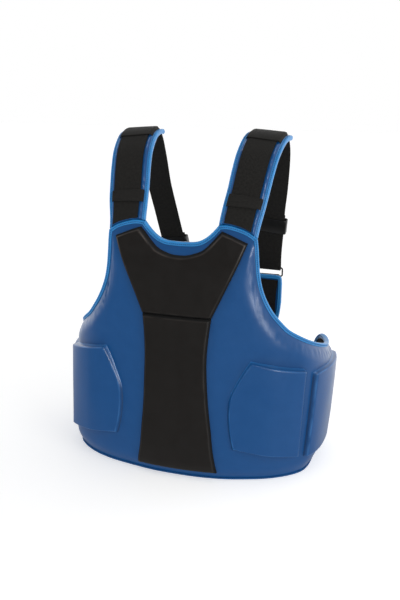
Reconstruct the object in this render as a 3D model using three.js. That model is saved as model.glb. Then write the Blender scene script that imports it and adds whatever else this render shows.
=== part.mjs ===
import * as THREE from 'three';
import { mergeVertices } from 'three/addons/utils/BufferGeometryUtils.js';

// Torso protector: a padded shell round the front and sides of the body, raised pads on it,
// two padded shoulder straps with webbing, and a small pad that hangs behind the back.
// Millimetres, +Z up, the front looks along -Y. Left and right are as seen from the front.

// Gaps between pieces
const GAP = 0.3;
const SEAT = 1.15;
const LINING_GAP = 1.5;

// Shell: a bound edge, then padding that swells outward
const EDGE_HALF = 2.5;
const SHELL_FULL = 13;
const FLAT_MARGIN = 11.5;
const SWELL_RUN = 22;
const GENTLE_RUN = 70;
const LINING_WALL = 1.2;

// Edge tape folded over every bound edge
const TAPE_REACH = 5;
const BASE_TAPE_REACH = 2;
const TAPE_WALL = 1.5;

// Raised pads
const CHEST_HEIGHT = 7.5;
const SIDE_HEIGHT = 13;
const SIDE_FRONT_HEIGHT = 5.5;
const SIDE_RISE = [95, 165];
const REAR_HEIGHT = 8.5;
const EDGE_RATIO = 0.5;
const CHEST_BEVEL = 5.5;
const SIDE_BEVEL = 6.5;

// Shoulder straps and webbing
const STRAP_HALF = 32.4;
const STRAP_SPREAD = 0.08;
const STRAP_FULL = 5.5;
const SEAM_GAP = 1.75;
const WEB_HALF = 23.4;
const WEB_THICK = 2;
const WEB_ON_STRAP = STRAP_FULL + GAP + WEB_THICK / 2;
const WEB_SPREAD = 3.6;
const KEEPER_WALL = 1.2;

// Upper front leans back toward the shoulders, lower sides tuck in
const LEAN_Y = -84;
const LEAN_FROM = 200;
const LEAN_TO = 440;
const TUCK_BACK = 12;
const TUCK_FROM = 205;

// As it stands, the side pads and the base sit a little to the left of the chest
const BASE_SHIFT = { left: -12, right: -4 };
const PAD_SHIFT = -4.25;

// Plan of the shell's edge plane, right half: x, y
const PLAN = [
  [0, -112], [40, -110.5], [80, -104.5], [120, -93.5], [155, -79.5], [183, -61], [203, -40],
  [216, -13], [224, 18], [225, 50], [220, 82], [208, 112], [192, 135], [170, 157],
];

// Shell outline, right half from the centre out: along and height of the upper edge, then of the lower edge
const SHELL = [
  [0, 411, 0, 0], [25, 412.5, 28, 0], [40, 418.5, 43, 0], [53, 429.3, 58, 0],
  [64, 442, 72, 0], [77, 443.5, 85, 0], [93, 441.2, 100, 0], [115, 434.2, 114, 0],
  [131, 424, 128, 0], [133, 407, 135, 0], [135, 382, 142, 0], [137.5, 361, 149, 0], [142, 341, 156, 0],
  [150, 321, 164, 0], [161, 302, 173, 0], [172, 288, 183, 0], [189, 270, 197, 0], [208, 257.5, 213, 0],
  [229, 246, 231, 0], [250, 236.5, 250, 0], [268, 229.5, 268, 0], [286, 223.5, 286, 0], [306, 217.5, 306, 0],
  [328, 213, 328, 0], [352, 211, 352, 0], [374, 210, 373, 0], [390, 206.5, 389, 2.5], [403, 196, 403, 10],
  [409, 184, 409, 21], [411, 169, 411, 36],
];
const NECK_CORNER = 4;
const SHOULDER_CORNER = 8;

// Raised panels, from one side to the other: along, height of the lower edge, along, height of the upper edge
const YOKE_HALF = [
  [0, 291, 0, 390], [11, 291, 11, 390.5], [22, 291, 23, 393.5], [32, 291, 39, 400.5], [40, 291, 53.5, 414.5],
  [46, 291, 63, 425.5], [50.5, 291, 70, 432.8], [53, 291, 85, 427.6], [55, 291, 99, 422],
  [56.8, 291, 108.5, 418.2], [58.5, 291, 114.5, 416],
];
const COLUMN_EDGE = [
  [18, 70.5], [53, 64.5], [91, 61], [138, 56.5], [178, 54], [219, 53], [257, 55], [289.6, 58.5],
];
const SIDE_PAD = [
  [101, 62, 93.5, 152], [107.5, 60.7, 98, 166], [116, 59, 108, 187], [126, 57, 118, 206], [136, 55, 128, 222],
  [149, 52.5, 143, 218.5], [163, 50, 159, 215], [177, 47.6, 175, 211.2], [191, 45.2, 191, 207.4],
  [204.5, 42.8, 210, 203], [211, 41.7, 217, 201.4],
];
const SIDE_PAD_BOW = 4;
const REAR_PAD = [
  [224, 36, 236, 189], [231, 35.5, 242.5, 190.5], [246, 35, 254, 191], [262, 34.5, 267, 191],
  [278, 34, 281, 190.5], [295, 34, 296, 190], [313, 34.5, 313, 189], [330, 35, 330, 188],
  [347, 36, 347, 187], [362, 37, 362, 186], [375, 41, 375, 181], [381, 48, 381, 174],
];

// Strap path on the right from the shoulder seam over the top and down the back: x, y, z, roll in degrees
const STRAP_PATH = [
  [97.5, -86, 424, 0], [99, -75, 448, 0], [101, -64.5, 471, 0], [104, -52, 496, 0], [107, -38, 523, 1.5],
  [110, -20, 548, 3], [113, 8, 568, 4], [115, 34, 574.5, 4], [116, 56, 572.5, 4], [117, 75, 562.5, 3],
  [117, 91, 544, 2], [115, 102, 514, 1], [111.5, 110, 476, 0], [106.5, 119, 440, 0], [102, 131, 406, 0],
  [97, 142, 372, 0], [93.5, 150.9, 341, 0], [92.5, 156, 309.5, 0],
];
const STRAP_END = 219;
const KEEPER_LOW = [48, 67];
const KEEPER_TOP = [166, 210];
const SLIDER_HEIGHT = 28;
const SLIDER_ROOM = 0.8;
const SLIDER_AT = { left: 471, right: 417 };

// Back pad, right half: along, height of the upper edge, along, height of the lower edge
const BACK = [
  [0, 305, 0, 112], [25, 305, 24, 114], [50, 305, 46, 120], [72, 305, 68, 134], [90, 305, 86, 155],
  [106, 305, 101, 181], [114.5, 303.8, 111, 204], [119.3, 300, 117, 228], [120.5, 288, 120, 252],
];
const BACK_EDGE_Y = 146;
const BACK_BOW = 4;
const BACK_HALF = 120;
const BACK_FULL = 10;
const BACK_MARGIN = 6;

// Ring at the top of the back pad
const RING_X = 92.5;
const RING_WIDE = 55;
const RING_TALL = 19;
const RING_BAR = 3;
const RING_REACH = 8;
const LOOP_HALF = 20;
const LOOP_WALL = 1.4;
const LOOP_DROP = 52;

// Waist strap behind the back pad
const WAIST_HALF = [
  [0, 161.5], [30, 161.2], [60, 160.4], [82, 158], [120, 151.6], [160, 144.6], [186, 139.4],
];
const WAIST_Z = [128, 168];
const WAIST_WALL = 2;

const LEATHER_BLUE = '#2a5690';
const LEATHER_BLACK = '#262322';
const TAPE_BLUE = '#3a88c2';
const CLOTH_BLACK = '#201f1f';
const PLASTIC_BLACK = '#161616';

const group = new THREE.Group();
group.name = 'torso_protector';

// Closed solid from rings of points; a ring runs out along one face and back along the other
function loft(rings, closed = false) {
  const count = rings[0].length;
  const half = count / 2;
  const position = [];
  const index = [];
  rings.flat().forEach((p) => position.push(p.x, p.y, p.z));
  const quad = (a, b, c, d) => index.push(a, b, c, a, c, d);
  const last = closed ? rings.length : rings.length - 1;
  for (let i = 0; i < last; i += 1) {
    const a = i * count;
    const b = ((i + 1) % rings.length) * count;
    for (let k = 0; k < count; k += 1) {
      const m = (k + 1) % count;
      quad(a + k, a + m, b + m, b + k);
    }
  }
  if (!closed) {
    const e = (rings.length - 1) * count;
    for (let k = 0; k < half - 1; k += 1) {
      quad(k, count - 1 - k, count - 2 - k, k + 1);
      quad(e + k, e + k + 1, e + count - 2 - k, e + count - 1 - k);
    }
  }
  const geometry = new THREE.BufferGeometry();
  geometry.setAttribute('position', new THREE.Float32BufferAttribute(position, 3));
  geometry.setIndex(index);
  return faceOutward(geometry);
}

// Turns the faces outward when the signed volume is negative
function faceOutward(geometry) {
  const p = geometry.getAttribute('position');
  const index = geometry.getIndex();
  const a = new THREE.Vector3();
  const b = new THREE.Vector3();
  const c = new THREE.Vector3();
  let volume = 0;
  for (let i = 0; i < index.count; i += 3) {
    a.fromBufferAttribute(p, index.getX(i));
    b.fromBufferAttribute(p, index.getX(i + 1));
    c.fromBufferAttribute(p, index.getX(i + 2));
    volume += a.dot(b.cross(c));
  }
  if (volume < 0) {
    for (let i = 0; i < index.count; i += 3) {
      const k = index.getX(i);
      index.setX(i, index.getX(i + 2));
      index.setX(i + 2, k);
    }
  }
  geometry.computeVertexNormals();
  return geometry;
}

function addPiece(name, geometry, color, roughness, metalness = 0) {
  const material = new THREE.MeshStandardMaterial({ color, roughness, metalness });
  material.name = name;
  const mesh = new THREE.Mesh(geometry, material);
  mesh.name = name;
  group.add(mesh);
}

function mirrored(geometry) {
  const copy = geometry.clone();
  copy.scale(-1, 1, 1);
  return faceOutward(copy);
}

function addPair(name, geometry, color, roughness, metalness = 0) {
  addPiece(`${name}_left`, mirrored(geometry), color, roughness, metalness);
  addPiece(`${name}_right`, geometry, color, roughness, metalness);
}

// Plan curve as a table of arc length, x and y
const planCurve = new THREE.SplineCurve([
  ...PLAN.slice(1).reverse().map(([x, y]) => new THREE.Vector2(-x, y)),
  ...PLAN.map(([x, y]) => new THREE.Vector2(x, y)),
]);
const planSamples = planCurve.getPoints(1560);
const planArc = [0];
for (let i = 1; i < planSamples.length; i += 1) {
  planArc.push(planArc[i - 1] + planSamples[i].distanceTo(planSamples[i - 1]));
}
const planMiddle = planArc[planArc.length - 1] / 2;

function planAt(along) {
  const goal = along + planMiddle;
  let low = 0;
  let high = planArc.length - 1;
  while (high - low > 1) {
    const mid = (low + high) >> 1;
    if (planArc[mid] > goal) {
      high = mid;
    } else {
      low = mid;
    }
  }
  const t = (goal - planArc[low]) / (planArc[high] - planArc[low]);
  return planSamples[low].clone().lerp(planSamples[high], t);
}

// Body surface: along the plan, height, and distance outward from the shell's edge plane
function bodyPoint(along, height, out) {
  const p = planAt(along);
  const d = planAt(along + 4).sub(planAt(along - 4)).normalize();
  const rise = Math.max(0, (height - LEAN_FROM) / (LEAN_TO - LEAN_FROM));
  const lean = Math.max(0, LEAN_Y - p.y) * rise;
  const low = Math.max(0, 1 - height / TUCK_FROM);
  const tuck = TUCK_BACK * THREE.MathUtils.smoothstep(Math.abs(along), 220, 300) * low;
  const most = along < 0 ? BASE_SHIFT.left : BASE_SHIFT.right;
  const shift = most * THREE.MathUtils.smoothstep(Math.abs(along), 70, 130) * low;
  return new THREE.Vector3(p.x + d.y * out + shift - Math.sign(along) * tuck, p.y - d.x * out + lean, height);
}

const flip = ([a, b, c, d]) => [-a, b, -c, d];

// Mirrors a half table of columns about the centre
function bothHalves(half) {
  return [...half.slice(1).reverse().map(flip), ...half];
}

// Draws the columns in from the outer edge of the tape to the edge that the tape covers
function insideTape(columns) {
  const outline = outlineOf(columns);
  const inward = inwardOf(outline);
  const depth = GAP + TAPE_WALL;
  const moved = outline.map((p, i) => p.clone().addScaledVector(inward[i], depth));
  return columns.map((_, i) => {
    const a = moved[i];
    const b = moved[outline.length - 1 - i];
    return [a.x, a.y, b.x, b.y];
  });
}

// Closed outline of a panel from its columns
function outlineOf(columns) {
  const first = columns.map(([a, b]) => new THREE.Vector2(a, b));
  const second = columns.map(([, , c, d]) => new THREE.Vector2(c, d));
  return [...first, ...second.reverse()];
}

function edgeDistance(outline, along, height, from = 0, to = outline.length) {
  let best = Infinity;
  for (let i = from; i < to; i += 1) {
    const a = outline[i];
    const b = outline[(i + 1) % outline.length];
    const dx = b.x - a.x;
    const dy = b.y - a.y;
    const t = ((along - a.x) * dx + (height - a.y) * dy) / (dx * dx + dy * dy);
    const k = THREE.MathUtils.clamp(t, 0, 1);
    best = Math.min(best, Math.hypot(along - a.x - k * dx, height - a.y - k * dy));
  }
  return best;
}

// Inward offset at each corner of an outline, so that offset edges keep their distance
function inwardOf(outline) {
  const count = outline.length;
  const area = THREE.ShapeUtils.area(outline);
  const side = area > 0 ? 1 : -1;
  return outline.map((p, i) => {
    const before = p.clone().sub(outline[(i + count - 1) % count]).normalize();
    const after = outline[(i + 1) % count].clone().sub(p).normalize();
    const sum = before.clone().add(after).normalize();
    const inward = new THREE.Vector2(-sum.y, sum.x).multiplyScalar(side);
    const square = new THREE.Vector2(-before.y, before.x).multiplyScalar(side);
    return inward.divideScalar(inward.dot(square));
  });
}

// Outer face: flat under the tape, then a round up to the full padding
function swell(distance, full) {
  const t = THREE.MathUtils.clamp((distance - FLAT_MARGIN) / SWELL_RUN, 0, 1);
  return EDGE_HALF + (full - EDGE_HALF) * Math.sin(t * Math.PI / 2);
}

// Slower rise from the neck and the shoulder seams, under the chest yoke
function gentleSwell(distance, full) {
  const t = THREE.MathUtils.clamp((distance - FLAT_MARGIN) / GENTLE_RUN, 0, 1);
  return EDGE_HALF + (full - EDGE_HALF) * t * (2 - t);
}

// Rows of points down one column: near the two edges they keep their distance from the outline
function columnRows(column, inTop, inBase, straight, kink) {
  const top = new THREE.Vector2(column[0], column[1]);
  const base = new THREE.Vector2(column[2], column[3]);
  const down = base.clone().sub(top).normalize();
  const room = Math.min(1, top.distanceTo(base) / 130);
  const step = (p, inward, way) => {
    if (straight) {
      return [0, 11, 17, 26].map((k) => p.clone().addScaledVector(way, k * room));
    }
    const near = [0, 7, 14].map((k) => p.clone().addScaledVector(inward, k));
    return [...near, near[2].clone().addScaledVector(way, 12)];
  };
  const middle = column[1] > kink + 130 ? (column[1] - kink) / (column[1] - column[3]) : 0.5;
  const mids = [middle * 0.55, middle, middle + (1 - middle) * 0.5].map((t) => top.clone().lerp(base, t));
  const lower = step(base, inBase, down.clone().negate());
  return [...step(top, inTop, down), ...mids, ...lower.reverse()];
}

// Padded panel with its edges bound: outer face swells, inner face stays flat
function paddedPanel(columns, place, face, kink) {
  const outline = outlineOf(columns);
  const inward = inwardOf(outline);
  const last = columns.length - 1;
  const rings = columns.map((column, i) => {
    const straight = i < 3 || i > last - 3;
    const rows = columnRows(column, inward[i], inward[outline.length - 1 - i], straight, kink);
    const outer = rows.map((p) => place(p.x, p.y, face(p.x, p.y)));
    const inner = rows.map((p) => place(p.x, p.y, -EDGE_HALF));
    return [...outer, ...inner.reverse()];
  });
  return loft(rings);
}

// Thin lining over the inner face, inside the tape
function liningPanel(columns, place, kink) {
  const outline = outlineOf(columns);
  const inward = inwardOf(outline);
  const inset = TAPE_REACH + 1;
  const last = columns.length - 1;
  const rings = columns.slice(3, last - 2).map((column, k) => {
    const i = k + 3;
    const top = new THREE.Vector2(column[0], column[1]).addScaledVector(inward[i], inset);
    const base = new THREE.Vector2(column[2], column[3]);
    base.addScaledVector(inward[outline.length - 1 - i], inset);
    const bend = top.y > kink + 30 ? (top.y - kink) / (top.y - base.y) : 0.5;
    const rows = [0, bend * 0.5, bend, bend + (1 - bend) * 0.5, 1].map((t) => top.clone().lerp(base, t));
    const near = rows.map((p) => place(p.x, p.y, -EDGE_HALF - LINING_GAP));
    const far = rows.map((p) => place(p.x, p.y, -EDGE_HALF - LINING_GAP - LINING_WALL));
    return [...near, ...far.reverse()];
  });
  return loft(rings);
}

// Edge tape with a U section round part of an outline
function edgeTape(outline, from, to, place, closed = false, fold = TAPE_REACH) {
  const inward = inwardOf(outline);
  const count = outline.length;
  const near = EDGE_HALF + GAP;
  const far = near + TAPE_WALL;
  const section = [
    [fold, far], [-GAP - TAPE_WALL, far], [-GAP - TAPE_WALL, -far], [fold, -far],
    [fold, -near], [-GAP, -near], [-GAP, near], [fold, near],
  ];
  const rings = [];
  for (let i = from; i <= to; i += 1) {
    const p = outline[i % count].clone();
    if (!closed && i === from) {
      p.add(outline[(i + 1) % count].clone().sub(p).setLength(GAP));
    }
    if (!closed && i === to) {
      p.add(outline[(i + count - 1) % count].clone().sub(p).setLength(GAP));
    }
    rings.push(section.map(([reach, out]) => {
      const q = p.clone().addScaledVector(inward[i % count], reach);
      return place(q.x, q.y, out);
    }));
  }
  return loft(rings, closed);
}

const shellColumns = insideTape(bothHalves(SHELL));
const shellOutline = outlineOf(shellColumns);
const shellCentre = SHELL.length - 1;
const shellLast = shellColumns.length - 1;

const neckFrom = shellCentre - NECK_CORNER;
const neckTo = shellCentre + NECK_CORNER;
const shoulderLeft = shellCentre - SHOULDER_CORNER;
const shoulder = shellCentre + SHOULDER_CORNER;
const lowerFrom = shellLast + 1;
const lowerTo = 2 * shellLast + 1;

function shellFace(along, height) {
  const upper = edgeDistance(shellOutline, along, height, shoulderLeft, shoulder);
  const left = edgeDistance(shellOutline, along, height, 0, shoulderLeft);
  const rest = Math.min(left, edgeDistance(shellOutline, along, height, shoulder));
  return Math.min(gentleSwell(upper, SHELL_FULL), swell(rest, SHELL_FULL));
}

// Raised panel seated on the shell's outer face, with a bevel round its edge
function raisedPanel(columns, mids, heightAt, bevel, bow = 0) {
  const outline = outlineOf(columns);
  const last = columns.length - 1;
  const rings = columns.map(([a, b, c, d], i) => {
    const base = new THREE.Vector2(a, b);
    const top = new THREE.Vector2(c, d);
    const edge = bevel / base.distanceTo(top);
    const steps = [0, edge, ...mids, 1 - edge, 1];
    const rows = steps.map((t) => {
      const p = base.clone().lerp(top, t);
      p.x -= bow * 4 * t * (1 - t) * (1 - i / last) ** 2;
      return p;
    });
    const inner = rows.map((p) => bodyPoint(p.x, p.y, shellFace(p.x, p.y) + SEAT));
    const outer = rows.map((p, k) => {
      const border = i === 0 || i === last || k === 0 || k === rows.length - 1;
      const t = border ? 0 : Math.min(1, edgeDistance(outline, p.x, p.y) / (bevel * 0.9));
      const full = heightAt(p.x) * (EDGE_RATIO + (1 - EDGE_RATIO) * t);
      return bodyPoint(p.x, p.y, shellFace(p.x, p.y) + SEAT + full);
    });
    return [...inner, ...outer.reverse()];
  });
  return loft(rings);
}

// Shell, lining and the tape round its edge
addPiece('shell', paddedPanel(shellColumns, bodyPoint, shellFace, LEAN_FROM), LEATHER_BLUE, 0.4);
addPiece('shell_lining', liningPanel(shellColumns, bodyPoint, LEAN_FROM), CLOTH_BLACK, 0.8);

const shellTape = (from, to, fold) => edgeTape(shellOutline, from, to, bodyPoint, false, fold);
addPiece('neck_binding', shellTape(neckFrom, neckTo), TAPE_BLUE, 0.45);
addPiece('shoulder_binding_left', shellTape(shoulderLeft, neckFrom), TAPE_BLUE, 0.45);
addPiece('shoulder_binding_right', shellTape(neckTo, shoulder), TAPE_BLUE, 0.45);
addPiece('armhole_binding_left', shellTape(lowerTo, lowerTo + 1 + shoulderLeft), TAPE_BLUE, 0.45);
addPiece('armhole_binding_right', shellTape(shoulder, lowerFrom), TAPE_BLUE, 0.45);
addPiece('bottom_binding', shellTape(lowerFrom, lowerTo, BASE_TAPE_REACH), TAPE_BLUE, 0.45);

// Chest yoke and chest column
const yoke = raisedPanel(bothHalves(YOKE_HALF), [0.34, 0.6, 0.82], () => CHEST_HEIGHT, CHEST_BEVEL);
addPiece('chest_yoke', yoke, LEATHER_BLACK, 0.45);

function columnPanel() {
  const share = [-1, -0.905, -0.62, -0.3, 0, 0.3, 0.62, 0.905, 1];
  const low = COLUMN_EDGE[0][0];
  const high = COLUMN_EDGE[COLUMN_EDGE.length - 1][0];
  const heights = [low, low + CHEST_BEVEL, 33, 53, 91, 138, LEAN_FROM, 232, 257, high - CHEST_BEVEL, high];
  const halfAt = (z) => {
    const k = Math.max(1, COLUMN_EDGE.findIndex(([height]) => height >= z));
    const [z0, w0] = COLUMN_EDGE[k - 1];
    const [z1, w1] = COLUMN_EDGE[k];
    return w0 + (w1 - w0) * (z - z0) / (z1 - z0);
  };
  const rings = heights.map((z, j) => {
    const half = halfAt(z);
    const endRow = j === 0 || j === heights.length - 1;
    const inner = share.map((t) => bodyPoint(t * half, z, shellFace(t * half, z) + SEAT));
    const outer = share.map((t) => {
      const full = CHEST_HEIGHT * (endRow || Math.abs(t) === 1 ? EDGE_RATIO : 1);
      return bodyPoint(t * half, z, shellFace(t * half, z) + SEAT + full);
    });
    return [...inner, ...outer.reverse()];
  });
  return loft(rings);
}
addPiece('chest_column', columnPanel(), LEATHER_BLACK, 0.45);

// Side pads in front of and behind the bend line; the front one is lower toward the chest
const sideHeight = (along) => {
  const t = THREE.MathUtils.smoothstep(Math.abs(along), ...SIDE_RISE);
  return SIDE_FRONT_HEIGHT + (SIDE_HEIGHT - SIDE_FRONT_HEIGHT) * t;
};
const sidePad = (columns, bow) => raisedPanel(columns, [0.25, 0.5, 0.75], sideHeight, SIDE_BEVEL, bow);
const rearPad = (columns) => raisedPanel(columns, [0.33, 0.67], () => REAR_HEIGHT, SIDE_BEVEL);
const aside = ([a, b, c, d]) => [a + PAD_SHIFT, b, c + PAD_SHIFT, d];
addPiece('side_pad_left', sidePad(SIDE_PAD.map(flip).map(aside), -SIDE_PAD_BOW), LEATHER_BLUE, 0.4);
addPiece('side_pad_right', sidePad(SIDE_PAD.map(aside), SIDE_PAD_BOW), LEATHER_BLUE, 0.4);
addPiece('rear_pad_left', rearPad(REAR_PAD.map(flip).map(aside)), LEATHER_BLUE, 0.4);
addPiece('rear_pad_right', rearPad(REAR_PAD.map(aside)), LEATHER_BLUE, 0.4);

// Strap path with its own frame: across the strap, along it, and out from its middle plane
const strapCurve = new THREE.CatmullRomCurve3(
  STRAP_PATH.map(([x, y, z]) => new THREE.Vector3(x, y, z)), false, 'catmullrom', 0.5,
);
strapCurve.arcLengthDivisions = 1200;
const strapLength = strapCurve.getLength();
const strapKnots = STRAP_PATH.map((_, i) => {
  const lengths = strapCurve.getLengths();
  return lengths[Math.round(i * (lengths.length - 1) / (STRAP_PATH.length - 1))];
});

function strapFrame(along) {
  const share = THREE.MathUtils.clamp(along / strapLength, 0, 1);
  const origin = strapCurve.getPointAt(share);
  const way = strapCurve.getTangentAt(share);
  origin.addScaledVector(way, along - share * strapLength);
  let k = 1;
  while (k < strapKnots.length - 1 && strapKnots[k] < along) {
    k += 1;
  }
  const t = THREE.MathUtils.clamp((along - strapKnots[k - 1]) / (strapKnots[k] - strapKnots[k - 1]), 0, 1);
  const roll = THREE.MathUtils.degToRad(STRAP_PATH[k - 1][3] + (STRAP_PATH[k][3] - STRAP_PATH[k - 1][3]) * t);
  const across = new THREE.Vector3(1, 0, 0).addScaledVector(way, -way.x).normalize();
  const out = across.clone().cross(way).normalize();
  const side = across.clone().multiplyScalar(Math.cos(roll)).addScaledVector(out, -Math.sin(roll));
  return { origin, way, side, out: side.clone().cross(way).normalize() };
}

function strapPoint(across, along, out) {
  const frame = strapFrame(along);
  const past = THREE.MathUtils.smoothstep(along, STRAP_END + 10, STRAP_END + 120);
  const wider = 1 + STRAP_SPREAD * THREE.MathUtils.clamp(along / STRAP_END, 0, 1) * (1 - past);
  return frame.origin.addScaledVector(frame.side, across * wider).addScaledVector(frame.out, out);
}

// Height of the shoulder seam over a place across the strap, as a length along the strap path
function seamStart(across) {
  const along = STRAP_PATH[0][0] + across + 1;
  const seam = SHELL.slice(NECK_CORNER, SHOULDER_CORNER + 1);
  const k = THREE.MathUtils.clamp(seam.findIndex(([a]) => a >= along), 1, seam.length - 1);
  const t = (along - seam[k - 1][0]) / (seam[k][0] - seam[k - 1][0]);
  const height = seam[k - 1][1] + (seam[k][1] - seam[k - 1][1]) * t;
  return (height + SEAM_GAP - STRAP_PATH[0][2]) * 1.1;
}

// Stops along the strap, shared by all that lies on it
const strapStops = [...KEEPER_LOW, 92, 116, 136, 152, KEEPER_TOP[0], 180, 194, 202, KEEPER_TOP[1], STRAP_END];

function strapFace(across, along) {
  const distance = Math.min(STRAP_HALF - Math.abs(across), STRAP_END - along);
  const t = THREE.MathUtils.clamp((distance - FLAT_MARGIN) / 9, 0, 1);
  return EDGE_HALF + (STRAP_FULL - EDGE_HALF) * t;
}

function strapBody() {
  const rows = [0, ...strapStops];
  const across = [-1, -0.74, -0.46, 0.46, 0.74, 1].map((share) => share * STRAP_HALF);
  const rings = rows.map((along, i) => {
    const at = (u) => (i === 0 ? seamStart(u) : along);
    const front = across.map((u) => strapPoint(u, at(u), strapFace(u, at(u))));
    const back = across.map((u) => strapPoint(u, at(u), -strapFace(u, at(u))));
    return [...front, ...back.reverse()];
  });
  return loft(rings);
}

function strapTape() {
  const edge = (across) => {
    const stops = [seamStart(across) + 0.4, ...strapStops];
    return stops.map((along) => new THREE.Vector2(across, along));
  };
  const outline = [...edge(-STRAP_HALF), ...edge(STRAP_HALF).reverse()];
  return edgeTape(outline, 0, outline.length - 1, strapPoint);
}
addPair('shoulder_strap', strapBody(), LEATHER_BLUE, 0.4);
addPair('strap_binding', strapTape(), TAPE_BLUE, 0.45);

// Webbing: lies on the strap, runs down the back, turns round the ring and comes back up to the slider

function webbing(sliderAt) {
  const end = strapLength - RING_REACH;
  const nearSlider = [sliderAt - SLIDER_HEIGHT / 2 - 2, sliderAt + SLIDER_HEIGHT / 2 + 2];
  const backStops = [236, 256, 280, 308, 340, 372, 396, 430, 456, 484].filter(
    (along) => along < nearSlider[0] - 6 || along > nearSlider[1] + 6,
  );
  const sorted = [...strapStops, ...backStops, ...nearSlider].sort((p, q) => p - q);
  const level = (along) => {
    const leaves = THREE.MathUtils.smoothstep(along, STRAP_END + 2, STRAP_END + 60);
    const drift = THREE.MathUtils.smoothstep(along, sliderAt - 90, nearSlider[0]);
    return WEB_ON_STRAP * (1 - leaves) - WEB_SPREAD * drift;
  };
  const down = sorted.filter((along) => along < end - 4).map((along) => [along, level(along)]);
  const turn = [];
  for (let i = 0; i <= 6; i += 1) {
    const angle = Math.PI * i / 6;
    turn.push([end + WEB_SPREAD * Math.sin(angle), -WEB_SPREAD * Math.cos(angle)]);
  }
  const doubled = down.filter(([along]) => along > nearSlider[0] - 1);
  const up = doubled.map(([along]) => [along, WEB_SPREAD]).reverse();
  const whole = [...down, ...turn, ...up];
  const half = WEB_THICK / 2;
  const start = (u, side) => strapPoint(u, seamStart(u) + 0.4, WEB_ON_STRAP + side * half);
  const rings = [[start(-WEB_HALF, 1), start(WEB_HALF, 1), start(WEB_HALF, -1), start(-WEB_HALF, -1)]];
  whole.forEach(([along, out], i) => {
    const before = whole[Math.max(0, i - 1)];
    const after = whole[Math.min(whole.length - 1, i + 1)];
    const dx = after[0] - before[0];
    const dy = after[1] - before[1];
    const size = Math.hypot(dx, dy);
    const px = -dy / size * half;
    const py = dx / size * half;
    rings.push([
      strapPoint(-WEB_HALF, along + px, out + py), strapPoint(WEB_HALF, along + px, out + py),
      strapPoint(WEB_HALF, along - px, out - py), strapPoint(-WEB_HALF, along - px, out - py),
    ]);
  });
  return loft(rings);
}
addPiece('shoulder_webbing_left', mirrored(webbing(SLIDER_AT.left)), CLOTH_BLACK, 0.75);
addPiece('shoulder_webbing_right', webbing(SLIDER_AT.right), CLOTH_BLACK, 0.75);

// Keepers: flat bands over the webbing, with short legs that stand on the strap beside it
function keeper(from, to) {
  const over = WEB_ON_STRAP + WEB_THICK / 2 + SEAT;
  const foot = EDGE_HALF + GAP + 0.15;
  const near = WEB_HALF + 0.5;
  const far = near + KEEPER_WALL;
  const section = [
    [-far, foot], [-far, over + KEEPER_WALL], [far, over + KEEPER_WALL], [far, foot],
    [near, foot], [near, over], [-near, over], [-near, foot],
  ];
  const stops = strapStops.filter((along) => along >= from && along <= to);
  return loft(stops.map((along) => section.map(([u, out]) => strapPoint(u, along, out))));
}
addPair('keeper_lower', keeper(KEEPER_LOW[0], KEEPER_LOW[1]), CLOTH_BLACK, 0.7);
addPair('keeper_upper', keeper(KEEPER_TOP[0], KEEPER_TOP[1]), CLOTH_BLACK, 0.7);

// Slider: a flat loop round both layers of the webbing
function sliderLoop(sliderAt) {
  const wide = WEB_HALF + 3.5;
  const thick = WEB_SPREAD + WEB_THICK / 2 + SLIDER_ROOM + 2;
  const cut = 1.3;
  const shape = new THREE.Shape();
  shape.moveTo(-wide + cut, -thick);
  shape.lineTo(wide - cut, -thick);
  shape.lineTo(wide, -thick + cut);
  shape.lineTo(wide, thick - cut);
  shape.lineTo(wide - cut, thick);
  shape.lineTo(-wide + cut, thick);
  shape.lineTo(-wide, thick - cut);
  shape.lineTo(-wide, -thick + cut);
  shape.closePath();
  const hole = new THREE.Path();
  hole.moveTo(-wide + 2.6, -thick + 2);
  hole.lineTo(-wide + 2.6, thick - 2);
  hole.lineTo(wide - 2.6, thick - 2);
  hole.lineTo(wide - 2.6, -thick + 2);
  hole.closePath();
  shape.holes.push(hole);
  const geometry = new THREE.ExtrudeGeometry(shape, { depth: SLIDER_HEIGHT, bevelEnabled: false });
  geometry.translate(0, 0, -SLIDER_HEIGHT / 2);
  const frame = strapFrame(sliderAt);
  const basis = new THREE.Matrix4().makeBasis(frame.side, frame.out, frame.way.clone().negate());
  basis.setPosition(frame.origin);
  geometry.applyMatrix4(basis);
  return welded(geometry);
}

function welded(geometry) {
  geometry.deleteAttribute('normal');
  geometry.deleteAttribute('uv');
  return faceOutward(mergeVertices(geometry, 1e-4));
}
addPiece('slider_left', mirrored(sliderLoop(SLIDER_AT.left)), PLASTIC_BLACK, 0.4);
addPiece('slider_right', sliderLoop(SLIDER_AT.right), PLASTIC_BLACK, 0.4);

// Back pad with its lining and tape
function backPoint(along, height, out) {
  const bow = BACK_BOW * (1 - (along / BACK_HALF) ** 2);
  return new THREE.Vector3(along, BACK_EDGE_Y + bow + out, height);
}
const backColumns = insideTape(bothHalves(BACK));
const backOutline = outlineOf(backColumns);
const backFace = (along, height) => swell(edgeDistance(backOutline, along, height) - BACK_MARGIN, BACK_FULL);
addPiece('back_pad', paddedPanel(backColumns, backPoint, backFace, 900), LEATHER_BLUE, 0.4);
addPiece('back_lining', liningPanel(backColumns, backPoint, 900), CLOTH_BLACK, 0.8);
addPiece('back_binding', edgeTape(backOutline, 0, backOutline.length - 1, backPoint, true), TAPE_BLUE, 0.45);

// Ring: the webbing turns round its upper bar
const ringTop = strapFrame(strapLength - RING_REACH).origin;
const ringBase = ringTop.z + RING_BAR / 2 - RING_TALL;

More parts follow.
